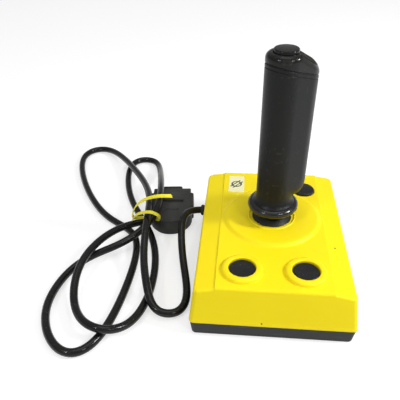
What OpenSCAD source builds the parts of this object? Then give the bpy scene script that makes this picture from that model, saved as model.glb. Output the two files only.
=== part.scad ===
// Digital game joystick: a two-tone housing with a two-axis gimbal stick,
// a pistol grip with a thumb button, three sprung push buttons, and a
// lead with a nine-way plug, bundled with a twist tie.
// The origin is on the table under the middle of the housing, +Z is up,
// +X is to the player's right and the player sits on the -Y side.

/* [Housing] */
// Width of the upper shell at its bottom edge
body_w = 100; // [94:1:112]
// Depth of the upper shell at its bottom edge
body_d = 138; // [134:1:150]
// Height of the seam between tray and shell
seam_z = 11; // [10:0.5:13]
// Height of the shell's outer shoulder
shoulder_z = 32; // [31:0.5:33]
// Height of the raised centre panel
panel_z = 35; // [34.5:0.5:37]
// Width across the shell's shoulders
shoulder_w = 94.7; // [90:0.5:96]
// Width of the raised centre panel
panel_w = 69.6; // [68:0.2:72]
// Step from the sloping side strips up to the panel
panel_step = 0.8; // [0.4:0.1:1.4]
// Lean of the front wall at its top
front_lean = 5.4; // [3:0.2:8]
// Lean of the rear wall at its top
rear_lean = 2.6; // [1.6:0.2:6]
// Wall of the upper shell
shell_wall = 2.4; // [2:0.1:2.8]
// Corner radius of the housing in plan
corner_r = 3; // [2.5:0.5:5]
// Rounding of the housing's edges
edge_r = 1.2; // [0.6:0.1:1.6]
// Set-back of the tray's rim from the shell's rim
tray_inset = 0.4; // [0.3:0.1:1.2]
// Draft of the tray from its rim to its underside
tray_draft = 1; // [0.5:0.1:2]
// Floor of the tray
tray_floor = 2; // [1.8:0.1:2.6]
// Height of the tray's locating lip above the seam
lip_h = 2; // [1:0.5:3]

/* [Feet and screws] */
// Stand-off of the rubber feet
foot_proud = 0.5; // [0.4:0.1:2]
// Radius of a rubber foot
foot_r = 6; // [4:0.5:7]
// Radius of a case screw's shank
screw_r = 1.5; // [1.2:0.1:1.8]
// Radius of a case screw's head
screw_head_r = 2.8; // [2.5:0.1:3.2]
// Radius of a small board screw's shank
small_screw_r = 1.2; // [1:0.1:1.4]

/* [Stick] */
// Place of the stick's axis behind the housing's middle
stick_y = 9.4; // [7:0.2:11]
// Height of the gimbal's centre
pivot_z = 22; // [21.5:0.1:22.5]
// Radius of the opening round the stick
hole_r = 13.5; // [13:0.1:14]
// Radius of the crater's foot on the panel
crater_foot_r = 34.4; // [31:0.2:34.6]
// Radius of the crater's crest
crater_crest_r = 30.4; // [27:0.2:30.8]
// Height of the crater's crest above the panel
crater_h = 1.8; // [1.6:0.1:2.6]
// Height of the opening's edge above the panel
crater_lip_h = 0.8; // [0.4:0.1:1.2]
// Radius of the collar
collar_r = 16.7; // [15.5:0.1:17]
// Height of the collar's middle
collar_z = 46.6; // [46:0.1:48]
// Half thickness of the collar's bead
bead_h = 3; // [2.8:0.1:3.5]
// Radius of the stick's shaft
shaft_r = 3.8; // [3.4:0.1:4]
// Radius of the gimbal's pins
pin_r = 1.5; // [1.3:0.05:1.7]

/* [Grip] */
// Radius of the grip's two round ends
grip_r = 11.9; // [11.6:0.1:12.5]
// Radius of the grip's flared foot on the collar
grip_foot_r = 14; // [13.4:0.1:14.6]
// Distance between the grip's two round ends
grip_offset = 11.4; // [8:0.2:13]
// Direction of the grip's long axis from +X
grip_turn = 40; // [0:5:90]
// Height of the cap's flat top
cap_top_z = 147.6; // [146:0.2:152]
// Height of the cap's seam on the stick's axis
cap_seam_z = 138.2; // [137:0.2:140]
// Slope of the cap's seam along the grip
cap_seam_slope = 16; // [12:1:20]
// Slope of the cap's back
cap_back_slope = 43; // [35:1:45]
// Wall of the grip
grip_wall = 2.4; // [2:0.1:2.5]
// Radius of the thumb button
thumb_r = 7.2; // [6.8:0.1:7.6]
// Height of the thumb button above the cap
thumb_proud = 1.8; // [1.8:0.1:3]
// Travel of the thumb button
thumb_travel = 1.5; // [1:0.1:1.8]

/* [Push buttons] */
// Distance of a front button from the middle
button_x = 19; // [17:0.5:20]
// Distance of the front buttons behind the housing's front edge
button_front = 23.2; // [22.8:0.1:26]
// Distance of the rear button to the right
rear_button_x = 24; // [23:0.1:25]
// Distance of the rear button before the housing's rear edge
rear_button_back = 25; // [24.5:0.1:26.5]
// Radius of a button's cap
button_r = 8.05; // [7.8:0.05:8.4]
// Travel of a button
button_travel = 2; // [1.2:0.1:2.2]
// Radius of the raised ring round a front button
ring_r = 12.8; // [12:0.1:13.4]
// Height of that ring
ring_h = 2.4; // [1.6:0.1:3]
// Depth of a front button's top below its ring
button_recess = 1; // [0.6:0.1:2.4]
// Height of the rear button's top above the panel
rear_proud = 1.8; // [1.6:0.1:3]

/* [Lead and plug] */
// Diameter of the lead
lead_d = 5.4; // [5:0.1:5.4]
// Distance of the lead before the housing's rear edge
lead_back = 26; // [24:0.5:28]
// Height of the lead above the seam
lead_rise = 3; // [2.6:0.1:3.4]
// Width of the plug's hood at its ears
plug_w = 35.6; // [33:0.2:37]
// Length of the plug's hood
plug_l = 42; // [40:0.5:46]
// Thickness of the plug's hood
plug_h = 13; // [12.8:0.1:13.2]

/* [Clearances] */
// Gap of a running fit, on the radius
run_gap = 0.05; // [0.03:0.01:0.08]
// Gap of a seated fit, on the radius
seat_gap = 0.01; // [0.01:0.01:0.03]
// Gap round a moulded moving part
move_gap = 0.32; // [0.28:0.02:0.4]
// Gap between the dust dome and its seat
dome_gap = 0.5; // [0.4:0.05:0.7]

/* [Hidden] */
$fn = 64;
eps = 0.01;
far = 2*cap_top_z;

// Tray and board levels
floor_z = foot_proud + tray_floor;
board_t = 1.6;
board_z = floor_z + 2.8;
board_top = board_z + board_t;
board_side = 8;
board_end = 17;
board_w = body_w - 2*board_side;
board_d = body_d - 2*board_end;
tray_edge = edge_r/2;
foot_t = foot_proud + 0.8;
foot_side = 18;
foot_end = 10;
foot_x = body_w/2 - foot_side;
foot_y = body_d/2 - foot_end;
screw_side = 8.5;
screw_end = 11;
screw_x = body_w/2 - screw_side;
screw_y = body_d/2 - screw_end;
boss_r = screw_r + 1.9;
boss_z = floor_z + 4;
head_recess = 2.2;
screw_top = boss_z + 12;
board_screw_side = 11;
board_screw_end = 24;
board_screw_x = board_w/2 - board_screw_side;
board_screw_y = board_d/2 - board_screw_end;
small_boss_r = small_screw_r + 2;
small_head_r = 2*small_screw_r;
small_head_h = 1.6;
slot_w = 0.7;
slot_deep = 0.75;
tip_floor = 1.4;

// Shell levels
panel_base = panel_z - panel_step;
ceiling_z = panel_z - shell_wall;
crater_lip_z = panel_z + crater_lip_h;
lip_t = 1.2;
lip_bite = 0.3;
lip_side = shell_wall + lip_h*(body_w - shoulder_w)/2/(shoulder_z - seam_z) + 0.3;
lip_end = shell_wall + lip_h*front_lean/(shoulder_z - seam_z) + 0.3;
function front_y(z) = -body_d/2 + front_lean*(z - seam_z)/(shoulder_z - seam_z);
function rear_y(z) = body_d/2 - rear_lean*(z - seam_z)/(shoulder_z - seam_z);

// Stick levels
seat_r = sqrt(hole_r*hole_r + pow(crater_lip_z - pivot_z, 2));
dome_r = seat_r - dome_gap;
dome_wall = 1.6;
dome_flat = 1.2;
dome_top = pivot_z + dome_r - dome_flat;
dome_flat_r = sqrt(dome_r*dome_r - pow(dome_r - dome_flat, 2));
dome_skirt_z = pivot_z + dome_r*cos(66);
dome_ceiling = dome_top - 3.6;
bearing_h = 7.6;
bearing_top = pivot_z + bearing_h;
bearing_r = sqrt(pow(dome_r - dome_wall - 1, 2) - bearing_h*bearing_h);
bearing_bore = bearing_r - 2.6;
bearing_flange = 1.5;
bearing_foot_r = bearing_r + 6;
bearing_foot_t = 2.2;
bearing_screw = (bearing_r + 2.9)*sqrt(0.5);
shaft_way = shaft_r + 3.7;
ring_out = bearing_bore - 0.7;
ring_in = shaft_r + 3.4;
gimbal_h = 2*pin_r + 2.2;
cross_half = ring_out - 0.2;
disc_t = 2.8;
disc_z = pivot_z - 10.8;
disc_r = 7.4;
disc_top = disc_z + disc_t;
disc_screw_r = 1.25;
disc_head_r = 2.4;
disc_head_h = 1.4;
disc_screw_top = pivot_z - pin_r - 1;
switch_r = 8.6;
switch_w = 5;
switch_top = disc_z - 1.9;
switch_body = switch_top - 0.5;
plunger_r = 1.2;
ceiling_r = sqrt(pow(dome_r - dome_wall, 2) - pow(dome_ceiling - pivot_z, 2));
spring_r = (shaft_way + min(bearing_r, ceiling_r))/2 + 0.4;
spring_wire = 0.5;

// Collar and grip levels
bead_w = 3.5;
bead_r = collar_r - bead_w;
collar_lip_r = bead_r - 1.8;
collar_lip_z = collar_z - bead_h - 1.1;
collar_lip_t = 0.6;
grip_z = collar_z + bead_h + 0.1;
grip_floor = 4;
foot_blend = 6;
heel_z = grip_z + grip_r + 0.1;
shaft_top = cap_seam_z - 12;
post_r = shaft_r + 2.4;
post_top = shaft_top + 3;
thumb_board_t = 1.6;
thumb_board_r = grip_r - grip_wall - 0.9;
thumb_board_top = post_top + thumb_board_t;
thumb_switch_w = 6;
thumb_switch_h = 3.6;
thumb_switch_top = thumb_board_top + thumb_switch_h + 1;
cap_roof = cap_top_z - grip_wall;
thumb_top = cap_top_z + thumb_proud;
thumb_flange_r = thumb_r + 1;
thumb_flange_t = 1.2;
thumb_flange_top = cap_roof - 0.3;
thumb_flange_z = thumb_flange_top - thumb_flange_t;
thumb_stem_z = thumb_switch_top + thumb_travel + 0.2;
thumb_stem_r = 2.4;
thumb_wire = 0.4;
thumb_coil_r = thumb_board_r - 1.6;
groove_w = 0.5;
groove_deep = 0.4;
band_h = 2.2;

// Button places and levels
button_y = body_d/2 - button_front;
rear_button_y = body_d/2 - rear_button_back;
button_hole_r = button_r + move_gap;
sleeve_r = button_hole_r + 1.8;
sleeve_z = ceiling_z - 6.3;
flange_top = sleeve_z - 0.3;
flange_t = 1.6;
flange_r = sleeve_r - 0.4;
cap_wall = 1.8;
dome_h = 0.7;
contact_r = 3.2;
stem_r = 2.6;
stem_z = board_top + dome_h + button_travel + 0.1;
coil_r = 4.6;
coil_wire = 0.45;
front_top = panel_z + ring_h - button_recess;
rear_top = panel_z + rear_proud;
front_crown = -0.4;
rear_crown = 0.6;

// Lead bushing, from the inside out
bushing_r = lead_d/2 + 1.5;
bushing_neck_r = lead_d/2 + 1.1;
bushing_in = -body_w/2 + lip_side + lip_t + 0.1;
bushing_out = -body_w/2 - 0.1;
bushing_tip = bushing_out - 1.9;
bushing_flange = 1;
lead_x = -board_w/2 - 2;
lead_y = body_d/2 - lead_back;
lead_z = seam_z + lead_rise;
connector_w = 8;
connector_l = 12;
connector_top = lead_z + 3;
entry_pitch = 2.2;

// Label's place on the panel, between the crater and the rear edge
label_w = 11.5;
label_t = 0.15;
label_side = 9.7;
label_margin = 9;
label_x = -panel_w/2 + label_side;
label_rear = body_d/2 - label_margin;
label_front = stick_y + sqrt(pow(crater_foot_r + label_t, 2) - pow(label_x + label_w/2, 2));
label_l = label_rear - label_front;
label_y = (label_rear + label_front)/2;

// Lead's route: control points of a smooth curve, from the board to the plug
LEAD = [[lead_x, lead_y, lead_z], [lead_x - 14.5, lead_y + 0.5, lead_z],
  [-66, 24, 22], [-61, -8, 5], [-53, -37, 3], [-56, -56, 3], [-74, -58, 4.5],
  [-81, -39, 11], [-88, -13, 13], [-89, 14, 25], [-92.5, 58, 19],
  [-118, 108, 10.5], [-143, 147, 5], [-163, 158, 3], [-180, 142, 3],
  [-162, 90, 3], [-128, 37, 3], [-95, 27, 3], [-95, -34, 3], [-103, -88, 3],
  [-126, -95, 3], [-150, -58, 3], [-139, -10, 3], [-110, 0, 9],
  [-95, 15, 11.5], [-82.5, 30, 20], [-87, 70, 19], [-96, 116, 4],
  [-102, 136, 3], [-121, 138, 3], [-128, 118, 3], [-115, 64, 3],
  [-83, 20, 3], [-77, -33, 3], [-85, -70, 3], [-105, -82, 13],
  [-128, -58, 3], [-133, -20, 14.5], [-114, 22, 12], [-88, 34, 8.5]];
// Twist tie's route: one loose tail, the loop round the strands, the other tail
TIE = [[-77, 58, 15], [-85, 44, 25.5], [-95, 38, 28], [-102, 33, 20],
  [-101.5, 25, 14.5], [-97, 21.5, 10.5], [-90, 20.5, 9.5], [-85, 20.5, 12.5],
  [-84, 20, 19.5], [-86.5, 19.5, 26], [-92, 20, 28.5], [-97.5, 22.5, 23],
  [-101, 26, 15], [-104, 28, 12.5]];
tie_r = 0.8;

// Plug's own frame: from the back of the hood to the mouth
plug_x = -74.6;
plug_y = 25.6;
plug_turn = 4.8;
ear_l = 11;
front_w = 30.8;
front_l = 6.5;
front_h = plug_h - 0.5;
nose_w = 16.9;
nose_h = 8.3;
nose_l = 6;
nose_wall = 0.5;
pin_pitch = 2.77;
row_pitch = 2.84;
contact_hole = 0.75;

// One corner of an outline, rounded by an arc of radius r
function unit2(v) = v/norm(v);
function corner_arc(p0, p1, p2, r, n = 6) =
  let (a = unit2(p0 - p1), b = unit2(p2 - p1),
       half = acos(a*b)/2,
       c = p1 + unit2(a + b)*r/sin(half),
       s = p1 + a*r/tan(half) - c,
       e = p1 + b*r/tan(half) - c,
       s_ang = atan2(s[1], s[0]),
       turn = atan2(s[0]*e[1] - s[1]*e[0], s*e))
  [for (k = [0 : n]) c + r*[cos(s_ang + turn*k/n), sin(s_ang + turn*k/n)]];

// An outline with every corner rounded; radii has one value per corner
function rounded(p, radii) =
  [for (i = [0 : len(p) - 1])
    each radii[i] > 0
      ? corner_arc(p[(i + len(p) - 1) % len(p)], p[i], p[(i + 1) % len(p)], radii[i])
      : [p[i]]];

// A point of the smooth curve that runs past the control points p
function curve_at(p, i, t) =
  let (n = len(p),
       a = i > 0 ? p[i - 1] : 2*p[0] - p[1],
       d = i + 2 < n ? p[i + 2] : 2*p[n - 1] - p[n - 2])
  (pow(1 - t, 3)*a + (3*pow(t, 3) - 6*t*t + 4)*p[i]
    + (-3*pow(t, 3) + 3*t*t + 3*t + 1)*p[i + 1] + pow(t, 3)*d)/6;
function curve(p, steps) =
  [for (i = [0 : len(p) - 2]) for (k = [0 : steps - 1]) curve_at(p, i, k/steps),
   p[len(p) - 1]];

// A round tube along a list of points, with flat ends
module tube(path, r, sides) {
  last = len(path) - 1;
  rings = [for (i = [0 : last])
    let (along = path[min(i + 1, last)] - path[max(i - 1, 0)],
         t = along/norm(along),
         s0 = cross(t, [0, 0, 1]),
         s = s0/norm(s0),
         u = cross(s, t))
    each [for (k = [0 : sides - 1])
      path[i] + r*(cos(360*k/sides)*s + sin(360*k/sides)*u)]];
  skin = [for (i = [0 : last - 1]) for (k = [0 : sides - 1])
    let (a = i*sides + k, b = i*sides + (k + 1) % sides)
    each [[a, b, b + sides], [a, b + sides, a + sides]]];
  ends = [[for (k = [0 : sides - 1]) sides - 1 - k],
          [for (k = [0 : sides - 1]) last*sides + k]];
  polyhedron(points = rings, faces = concat(skin, ends), convexity = 12);
}

// A coil spring standing on z = 0
module coil(r, wire, height, turns, sides = 6, steps = 14) {
  last = turns*steps;
  rings = [for (i = [0 : last])
    let (a = 360*i/steps,
         z = wire + (height - 2*wire)*i/last)
    each [for (k = [0 : sides - 1])
      [(r + wire*cos(360*k/sides))*cos(a),
       (r + wire*cos(360*k/sides))*sin(a),
       z + wire*sin(360*k/sides)]]];
  skin = [for (i = [0 : last - 1]) for (k = [0 : sides - 1])
    let (p = i*sides + k, q = i*sides + (k + 1) % sides)
    each [[p, q + sides, q], [p, p + sides, q + sides]]];
  ends = [[for (k = [0 : sides - 1]) k],
          [for (k = [0 : sides - 1]) last*sides + sides - 1 - k]];
  polyhedron(points = rings, faces = concat(skin, ends), convexity = 12);
}

// A thin plate with round corners, from y0 to y1
module plate(w, y0, y1, z, r) {
  for (x = [-w/2 + r, w/2 - r])
    for (y = [y0 + r, y1 - r])
      translate([x, y, z]) cylinder(r = r, h = eps, $fn = 32);
}

// The same with its rim rounded by e, its top at z
module soft_plate(w, y0, y1, z, r, e) {
  for (x = [-w/2 + r, w/2 - r])
    for (y = [y0 + r, y1 - r])
      translate([x, y, z - e]) rotate_extrude($fn = 32)
        translate([r - e, 0]) circle(r = e, $fn = 16);
}

// A rectangle with round corners
module round_rect(w, d, r) {
  square([w - 2*r, d], center = true);
  square([w, d - 2*r], center = true);
  for (x = [-w/2 + r, w/2 - r])
    for (y = [-d/2 + r, d/2 - r])
      translate([x, y]) circle(r = r);
}

// Places of what repeats
module at_corners(x, y) {
  for (sx = [-1, 1])
    for (sy = [-1, 1])
      translate([sx*x, sy*y, 0]) children();
}
module at_stick() {
  translate([0, stick_y, 0]) children();
}
module at_buttons() {
  for (x = [-button_x, button_x])
    translate([x, -button_y, 0]) children();
}
module at_rear_button() {
  translate([rear_button_x, rear_button_y, 0]) children();
}
module at_plug() {
  translate([plug_x, plug_y, 0]) rotate([0, 0, plug_turn]) children();
}

// The shell's outside: leaning walls, round shoulders, sloping side strips
module shell_outside() {
  hull() {
    plate(body_w, -body_d/2, body_d/2, seam_z, corner_r);
    soft_plate(shoulder_w, front_y(shoulder_z), rear_y(shoulder_z), shoulder_z, corner_r, edge_r);
    soft_plate(panel_w, front_y(panel_base), rear_y(panel_base), panel_base, corner_r, edge_r);
  }
}

// The hollow inside it
module shell_inside() {
  t = shell_wall;
  hull() {
    plate(body_w - 2*t, -body_d/2 + t, body_d/2 - t, seam_z - 1, corner_r - 1);
    plate(shoulder_w - 2*t, front_y(shoulder_z) + t, rear_y(shoulder_z) - t,
          shoulder_z - t, corner_r - 1);
    plate(panel_w - 2*t, front_y(panel_base) + t, rear_y(panel_base) - t,
          panel_base - t, corner_r - 1);
  }
}

// The raised crater round the stick, a smooth hump down to the opening
module crater() {
  outer = [for (k = [0 : 8])
    [crater_foot_r + (crater_crest_r - crater_foot_r)*k/8,
     panel_z + crater_h*(1 - cos(180*k/8))/2]];
  inner = [for (k = [1 : 10])
    [crater_crest_r + (hole_r - 2 - crater_crest_r)*k/10,
     crater_lip_z + (crater_h - crater_lip_h)*(1 + cos(180*k/10))/2]];
  at_stick() rotate_extrude($fn = 96)
    polygon(concat([[hole_r - 2, ceiling_z], [crater_foot_r, ceiling_z]], outer, inner));
}

// The raised ring round a front button
module finger_ring() {
  top = button_hole_r + 1.6;
  slope = [for (k = [0 : 8])
    [ring_r - (ring_r - top)*(1 - cos(90*k/8)), panel_z + ring_h*sin(90*k/8)]];
  lip = [for (k = [0 : 4])
    [button_hole_r + 0.8 - 0.8*sin(90*k/4), panel_z + ring_h - 0.8*(1 - cos(90*k/4))]];
  rotate_extrude($fn = 72)
    polygon(concat([[button_hole_r, ceiling_z], [ring_r, ceiling_z]], slope, lip));
}

// The way of the lead's bushing through the walls
module bushing_way() {
  translate([bushing_tip, lead_y, lead_z]) rotate([0, 90, 0])
    cylinder(r = bushing_neck_r + seat_gap, h = lead_x - bushing_tip);
}

module upper_shell() {
  color("gold") difference() {
    union() {
      difference() {
        shell_outside();
        shell_inside();
      }
      hull() {
        plate(panel_w, front_y(panel_base) + edge_r, rear_y(panel_base) - edge_r,
              panel_base - 0.8, corner_r - 1);
        soft_plate(panel_w, front_y(panel_z) + edge_r/2, rear_y(panel_z) - edge_r/2,
                   panel_z, corner_r - 1, panel_step/2);
      }
      translate([-panel_w/2 + 3, front_y(shoulder_z) + 3, ceiling_z])
        cube([panel_w - 6, rear_y(shoulder_z) - front_y(shoulder_z) - 6, shell_wall - 0.2]);
      crater();
      at_buttons() finger_ring();
      at_buttons() translate([0, 0, sleeve_z]) cylinder(r = sleeve_r, h = panel_z - sleeve_z - 0.2);
      at_rear_button() translate([0, 0, sleeve_z])
        cylinder(r = sleeve_r, h = panel_z - sleeve_z - 0.2);
      at_corners(screw_x, screw_y) translate([0, 0, boss_z])
        cylinder(r = boss_r, h = shoulder_z - 1 - boss_z);
    }
    at_stick() translate([0, 0, pivot_z]) sphere(r = seat_r, $fn = 96);
    at_buttons() translate([0, 0, sleeve_z - 1]) cylinder(r = button_hole_r, h = far);
    at_rear_button() translate([0, 0, sleeve_z - 1]) cylinder(r = button_hole_r, h = far);
    at_corners(screw_x, screw_y) translate([0, 0, boss_z - 1])
      cylinder(r = screw_r + seat_gap, h = screw_top + 1.5 - boss_z + 1);
    bushing_way();
  }
}

module base_tray() {
  rim_w = body_w - 2*tray_inset;
  rim_d = body_d - 2*tray_inset;
  lip_w = body_w - 2*lip_side;
  lip_d = body_d - 2*lip_end;
  in_w = lip_w - 2*lip_bite;
  in_d = lip_d - 2*lip_bite;
  color("dimgray") difference() {
    union() {
      difference() {
        hull() {
          soft_plate(rim_w - 2*tray_draft, -rim_d/2 + tray_draft, rim_d/2 - tray_draft,
                     foot_proud + 2*tray_edge, corner_r, tray_edge);
          plate(rim_w, -rim_d/2, rim_d/2, seam_z - eps, corner_r);
        }
        translate([0, 0, floor_z]) linear_extrude(seam_z) round_rect(in_w, in_d, corner_r - 1);
      }
      translate([0, 0, seam_z - 4]) linear_extrude(lip_h + 4) difference() {
        round_rect(lip_w, lip_d, corner_r - 1);
        round_rect(lip_w - 2*lip_t, lip_d - 2*lip_t, corner_r - 1.5);
      }
      at_corners(screw_x, screw_y) translate([0, 0, floor_z - 1])
        cylinder(r = boss_r + 0.6, h = boss_z - floor_z + 1);
      at_corners(board_screw_x, board_screw_y) translate([0, 0, floor_z - 1])
        cylinder(r = small_boss_r, h = board_z - floor_z + 1);
      at_stick() at_corners(bearing_screw, bearing_screw) translate([0, 0, floor_z - 1])
        cylinder(r = small_boss_r, h = board_z - floor_z + 1);
    }
    at_corners(screw_x, screw_y) translate([0, 0, -1])
      cylinder(r = screw_r + 0.2, h = boss_z + 2);
    at_corners(screw_x, screw_y) translate([0, 0, -1])
      cylinder(r = screw_head_r + 0.3, h = foot_proud + head_recess + 1);
    at_corners(foot_x, foot_y) translate([0, 0, -1])
      cylinder(r = foot_r + seat_gap, h = foot_t + 1);
    at_corners(board_screw_x, board_screw_y) translate([0, 0, foot_proud + 1])
      cylinder(r = small_screw_r + seat_gap, h = board_z);
    at_stick() at_corners(bearing_screw, bearing_screw) translate([0, 0, foot_proud + 1])
      cylinder(r = small_screw_r + seat_gap, h = board_z);
    bushing_way();
  }
}

module rubber_feet() {
  color("black") at_corners(foot_x, foot_y) rotate_extrude()
    polygon(rounded([[0, 0], [foot_r, 0], [foot_r, foot_t], [0, foot_t]], [0, 0.5, 0, 0]));
}

module case_screws() {
  head_z = foot_proud + 0.4;
  color("silver") at_corners(screw_x, screw_y) difference() {
    union() {
      translate([0, 0, head_z])
        cylinder(r = screw_head_r, h = foot_proud + head_recess - head_z);
      translate([0, 0, head_z + 0.5]) cylinder(r = screw_r, h = screw_top - head_z - 0.5);
    }
    for (a = [0, 90])
      translate([0, 0, head_z]) rotate([0, 0, a])
        cube([screw_head_r*1.2, slot_w, 2*slot_deep], center = true);
  }
}

module small_screw(seat_z, tip_z) {
  difference() {
    union() {
      translate([0, 0, seat_z]) cylinder(r = small_head_r, h = small_head_h);
      translate([0, 0, tip_z]) cylinder(r = small_screw_r, h = seat_z - tip_z + 0.5);
    }
    for (a = [0, 90])
      translate([0, 0, seat_z + small_head_h]) rotate([0, 0, a])
        cube([small_head_r*1.2, slot_w, 2*slot_deep], center = true);
  }
}

module circuit_board() {
  color("darkgreen") difference() {
    translate([-board_w/2, -board_d/2, board_z]) cube([board_w, board_d, board_t]);
    at_corners(board_screw_x, board_screw_y) translate([0, 0, board_z - 1])
      cylinder(r = small_screw_r + 0.2, h = board_t + 2);
    at_stick() at_corners(bearing_screw, bearing_screw) translate([0, 0, board_z - 1])
      cylinder(r = small_screw_r + 0.2, h = board_t + 2);
  }
}

module board_screws() {
  color("silver") at_corners(board_screw_x, board_screw_y)
    small_screw(board_top, foot_proud + tip_floor);
}

// The bearing that carries the gimbal: a turned cup with a spring seat on top
module pivot_housing() {
  foot_top = board_top + bearing_foot_t;
  color("ivory") difference() {
    at_stick() rotate_extrude()
      polygon([[bearing_bore, board_top], [bearing_foot_r, board_top], [bearing_foot_r, foot_top],
               [bearing_r, foot_top], [bearing_r, bearing_top], [shaft_way, bearing_top],
               [shaft_way, bearing_top - bearing_flange], [bearing_bore, bearing_top - bearing_flange]]);
    at_stick() translate([0, 0, pivot_z]) rotate([0, 90, 0])
      cylinder(r = pin_r + run_gap, h = 4*bearing_r, center = true);
    at_stick() at_corners(bearing_screw, bearing_screw) translate([0, 0, board_top - 1])
      cylinder(r = small_screw_r + 0.2, h = bearing_foot_t + 2);
  }
}

module housing_screws() {
  color("silver") at_stick() at_corners(bearing_screw, bearing_screw)
    small_screw(board_top + bearing_foot_t, foot_proud + tip_floor);
}

module direction_switches() {
  color("gray") at_stick() for (a = [0, 90, 180, 270])
    rotate([0, 0, a]) translate([switch_r, 0, board_top]) {
      translate([-switch_w/2, -switch_w/2, 0])
        cube([switch_w, switch_w, switch_body - board_top]);
      cylinder(r = plunger_r, h = switch_top - board_top);
    }
}

module contact_domes() {
  profile = [for (k = [0 : 6]) [contact_r*cos(90*k/6), dome_h*sin(90*k/6)]];
  color("gold") {
    at_buttons() translate([0, 0, board_top]) rotate_extrude() polygon(concat([[0, 0]], profile));
    at_rear_button() translate([0, 0, board_top]) rotate_extrude() polygon(concat([[0, 0]], profile));
  }
}

module board_connector() {
  color("white") difference() {
    translate([lead_x + seat_gap, lead_y - connector_l/2, board_top])
      cube([connector_w, connector_l, connector_top - board_top]);
    for (k = [-2 : 2])
      translate([lead_x + 0.6*connector_w, lead_y + entry_pitch*k, board_top + connector_w/2])
        cylinder(r = 0.3*entry_pitch, h = connector_top);
  }
}

module gimbal_ring() {
  color("slategray") at_stick() translate([0, 0, pivot_z]) difference() {
    rotate_extrude()
      polygon(rounded([[ring_in, -gimbal_h/2], [ring_out, -gimbal_h/2],
                       [ring_out, gimbal_h/2], [ring_in, gimbal_h/2]], [0.4, 0.4, 0.4, 0.4]));
    rotate([0, 90, 0]) cylinder(r = pin_r + seat_gap, h = 4*ring_out, center = true);
    rotate([90, 0, 0]) cylinder(r = pin_r + run_gap, h = 4*ring_out, center = true);
  }
}

module gimbal_pins() {
  color("silver") at_stick() for (a = [0, 180])
    rotate([0, 0, a]) translate([ring_in + 0.4, 0, pivot_z]) rotate([0, 90, 0])
      cylinder(r = pin_r, h = bearing_r - 0.1 - ring_in - 0.4);
}

module cross_pin() {
  color("silver") at_stick() translate([0, 0, pivot_z]) rotate([90, 0, 0])
    cylinder(r = pin_r, h = 2*cross_half, center = true);
}

module stick_shaft() {
  color("silver") at_stick() difference() {
    translate([0, 0, disc_top]) cylinder(r = shaft_r, h = shaft_top - disc_top);
    translate([0, 0, pivot_z]) rotate([90, 0, 0])
      cylinder(r = pin_r + seat_gap, h = 4*shaft_r, center = true);
    translate([0, 0, disc_top - 1])
      cylinder(r = disc_screw_r + seat_gap, h = disc_screw_top + 0.6 - disc_top + 1);
  }
}

module actuator_disc() {
  color("white") at_stick() difference() {
    translate([0, 0, disc_z]) rotate_extrude()
      polygon(rounded([[disc_screw_r + 0.2, 0], [disc_r, 0], [disc_r, disc_t],
                       [disc_screw_r + 0.2, disc_t]], [0, 0.6, 0.6, 0]));
    translate([0, 0, disc_z - 1]) cylinder(r = disc_head_r + 0.2, h = disc_head_h + 1);
  }
}

module actuator_screw() {
  color("silver") at_stick() {
    translate([0, 0, disc_z + 0.2]) cylinder(r = disc_head_r, h = disc_head_h - 0.2);
    translate([0, 0, disc_z + 0.4]) cylinder(r = disc_screw_r, h = disc_screw_top - disc_z - 0.4);
  }
}

// The black ball that fills the opening at every tilt
module dust_dome() {
  color("black") at_stick() difference() {
    intersection() {
      translate([0, 0, pivot_z]) sphere(r = dome_r, $fn = 96);
      translate([0, 0, dome_skirt_z]) cylinder(r = 2*dome_r, h = dome_top - dome_skirt_z);
    }
    intersection() {
      translate([0, 0, pivot_z]) sphere(r = dome_r - dome_wall, $fn = 96);
      translate([0, 0, 0]) cylinder(r = 2*dome_r, h = dome_ceiling);
    }
    cylinder(r = shaft_r + seat_gap, h = 2*dome_top);
  }
}

module centring_spring() {
  color("silver") at_stick() translate([0, 0, bearing_top + 0.05])
    coil(spring_r, spring_wire, dome_ceiling - bearing_top - 0.1, 4, steps = 20);
}

// The collar: a cone that widens from the dome into a full round bead
module collar() {
  bead = [for (k = [0 : 20])
    let (a = -125 + 215*k/20)
    [bead_r + bead_w*cos(a), collar_z + bead_h*sin(a)]];
  neck_r = dome_flat_r - 0.2;
  color("black") at_stick() rotate_extrude($fn = 96)
    polygon(concat([[shaft_r + seat_gap, dome_top], [neck_r, dome_top],
                    [collar_lip_r, collar_lip_z], [collar_lip_r, collar_lip_z + collar_lip_t],
                    [bead_r - bead_w - 0.1, collar_lip_z + collar_lip_t]], bead,
                   [[bead_r, grip_z], [shaft_r + seat_gap, grip_z]]));
}

// The grip's outside, drawn in by t: a stadium post with a round heel and a flared foot
module grip_form(t) {
  r = grip_r - t;
  top = far;
  flare = [for (k = [0 : 8])
    [r + (grip_foot_r - grip_r)*pow(1 - k/8, 2.6), foot_blend*k/8]];
  at_stick() rotate([0, 0, grip_turn]) {
    translate([0, 0, grip_z]) rotate_extrude()
      polygon(concat([[0, 0]], flare, [[0, foot_blend]]));
    translate([0, 0, grip_z + foot_blend]) cylinder(r = r, h = top - grip_z - foot_blend);
    translate([grip_offset, 0, heel_z]) cylinder(r = r, h = top - heel_z);
    translate([0, -r, heel_z]) cube([grip_offset, 2*r, top - heel_z]);
    translate([grip_offset, 0, heel_z]) sphere(r = r);
    translate([0, 0, heel_z]) rotate([0, 90, 0]) cylinder(r = r, h = grip_offset);
  }
}

// Everything under the cap's sloping seam, lifted by dz
module below_seam(dz) {
  at_stick() rotate([0, 0, grip_turn]) translate([0, 0, cap_seam_z + dz])
    rotate([0, cap_seam_slope, 0]) translate([-far, -far, -far]) cube([2*far, 2*far, far]);
}

// A thin groove round the grip, dz above the seam
module grip_groove(dz) {
  difference() {
    below_seam(dz);
    below_seam(dz - groove_w);
    grip_form(groove_deep);
  }
}

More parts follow.
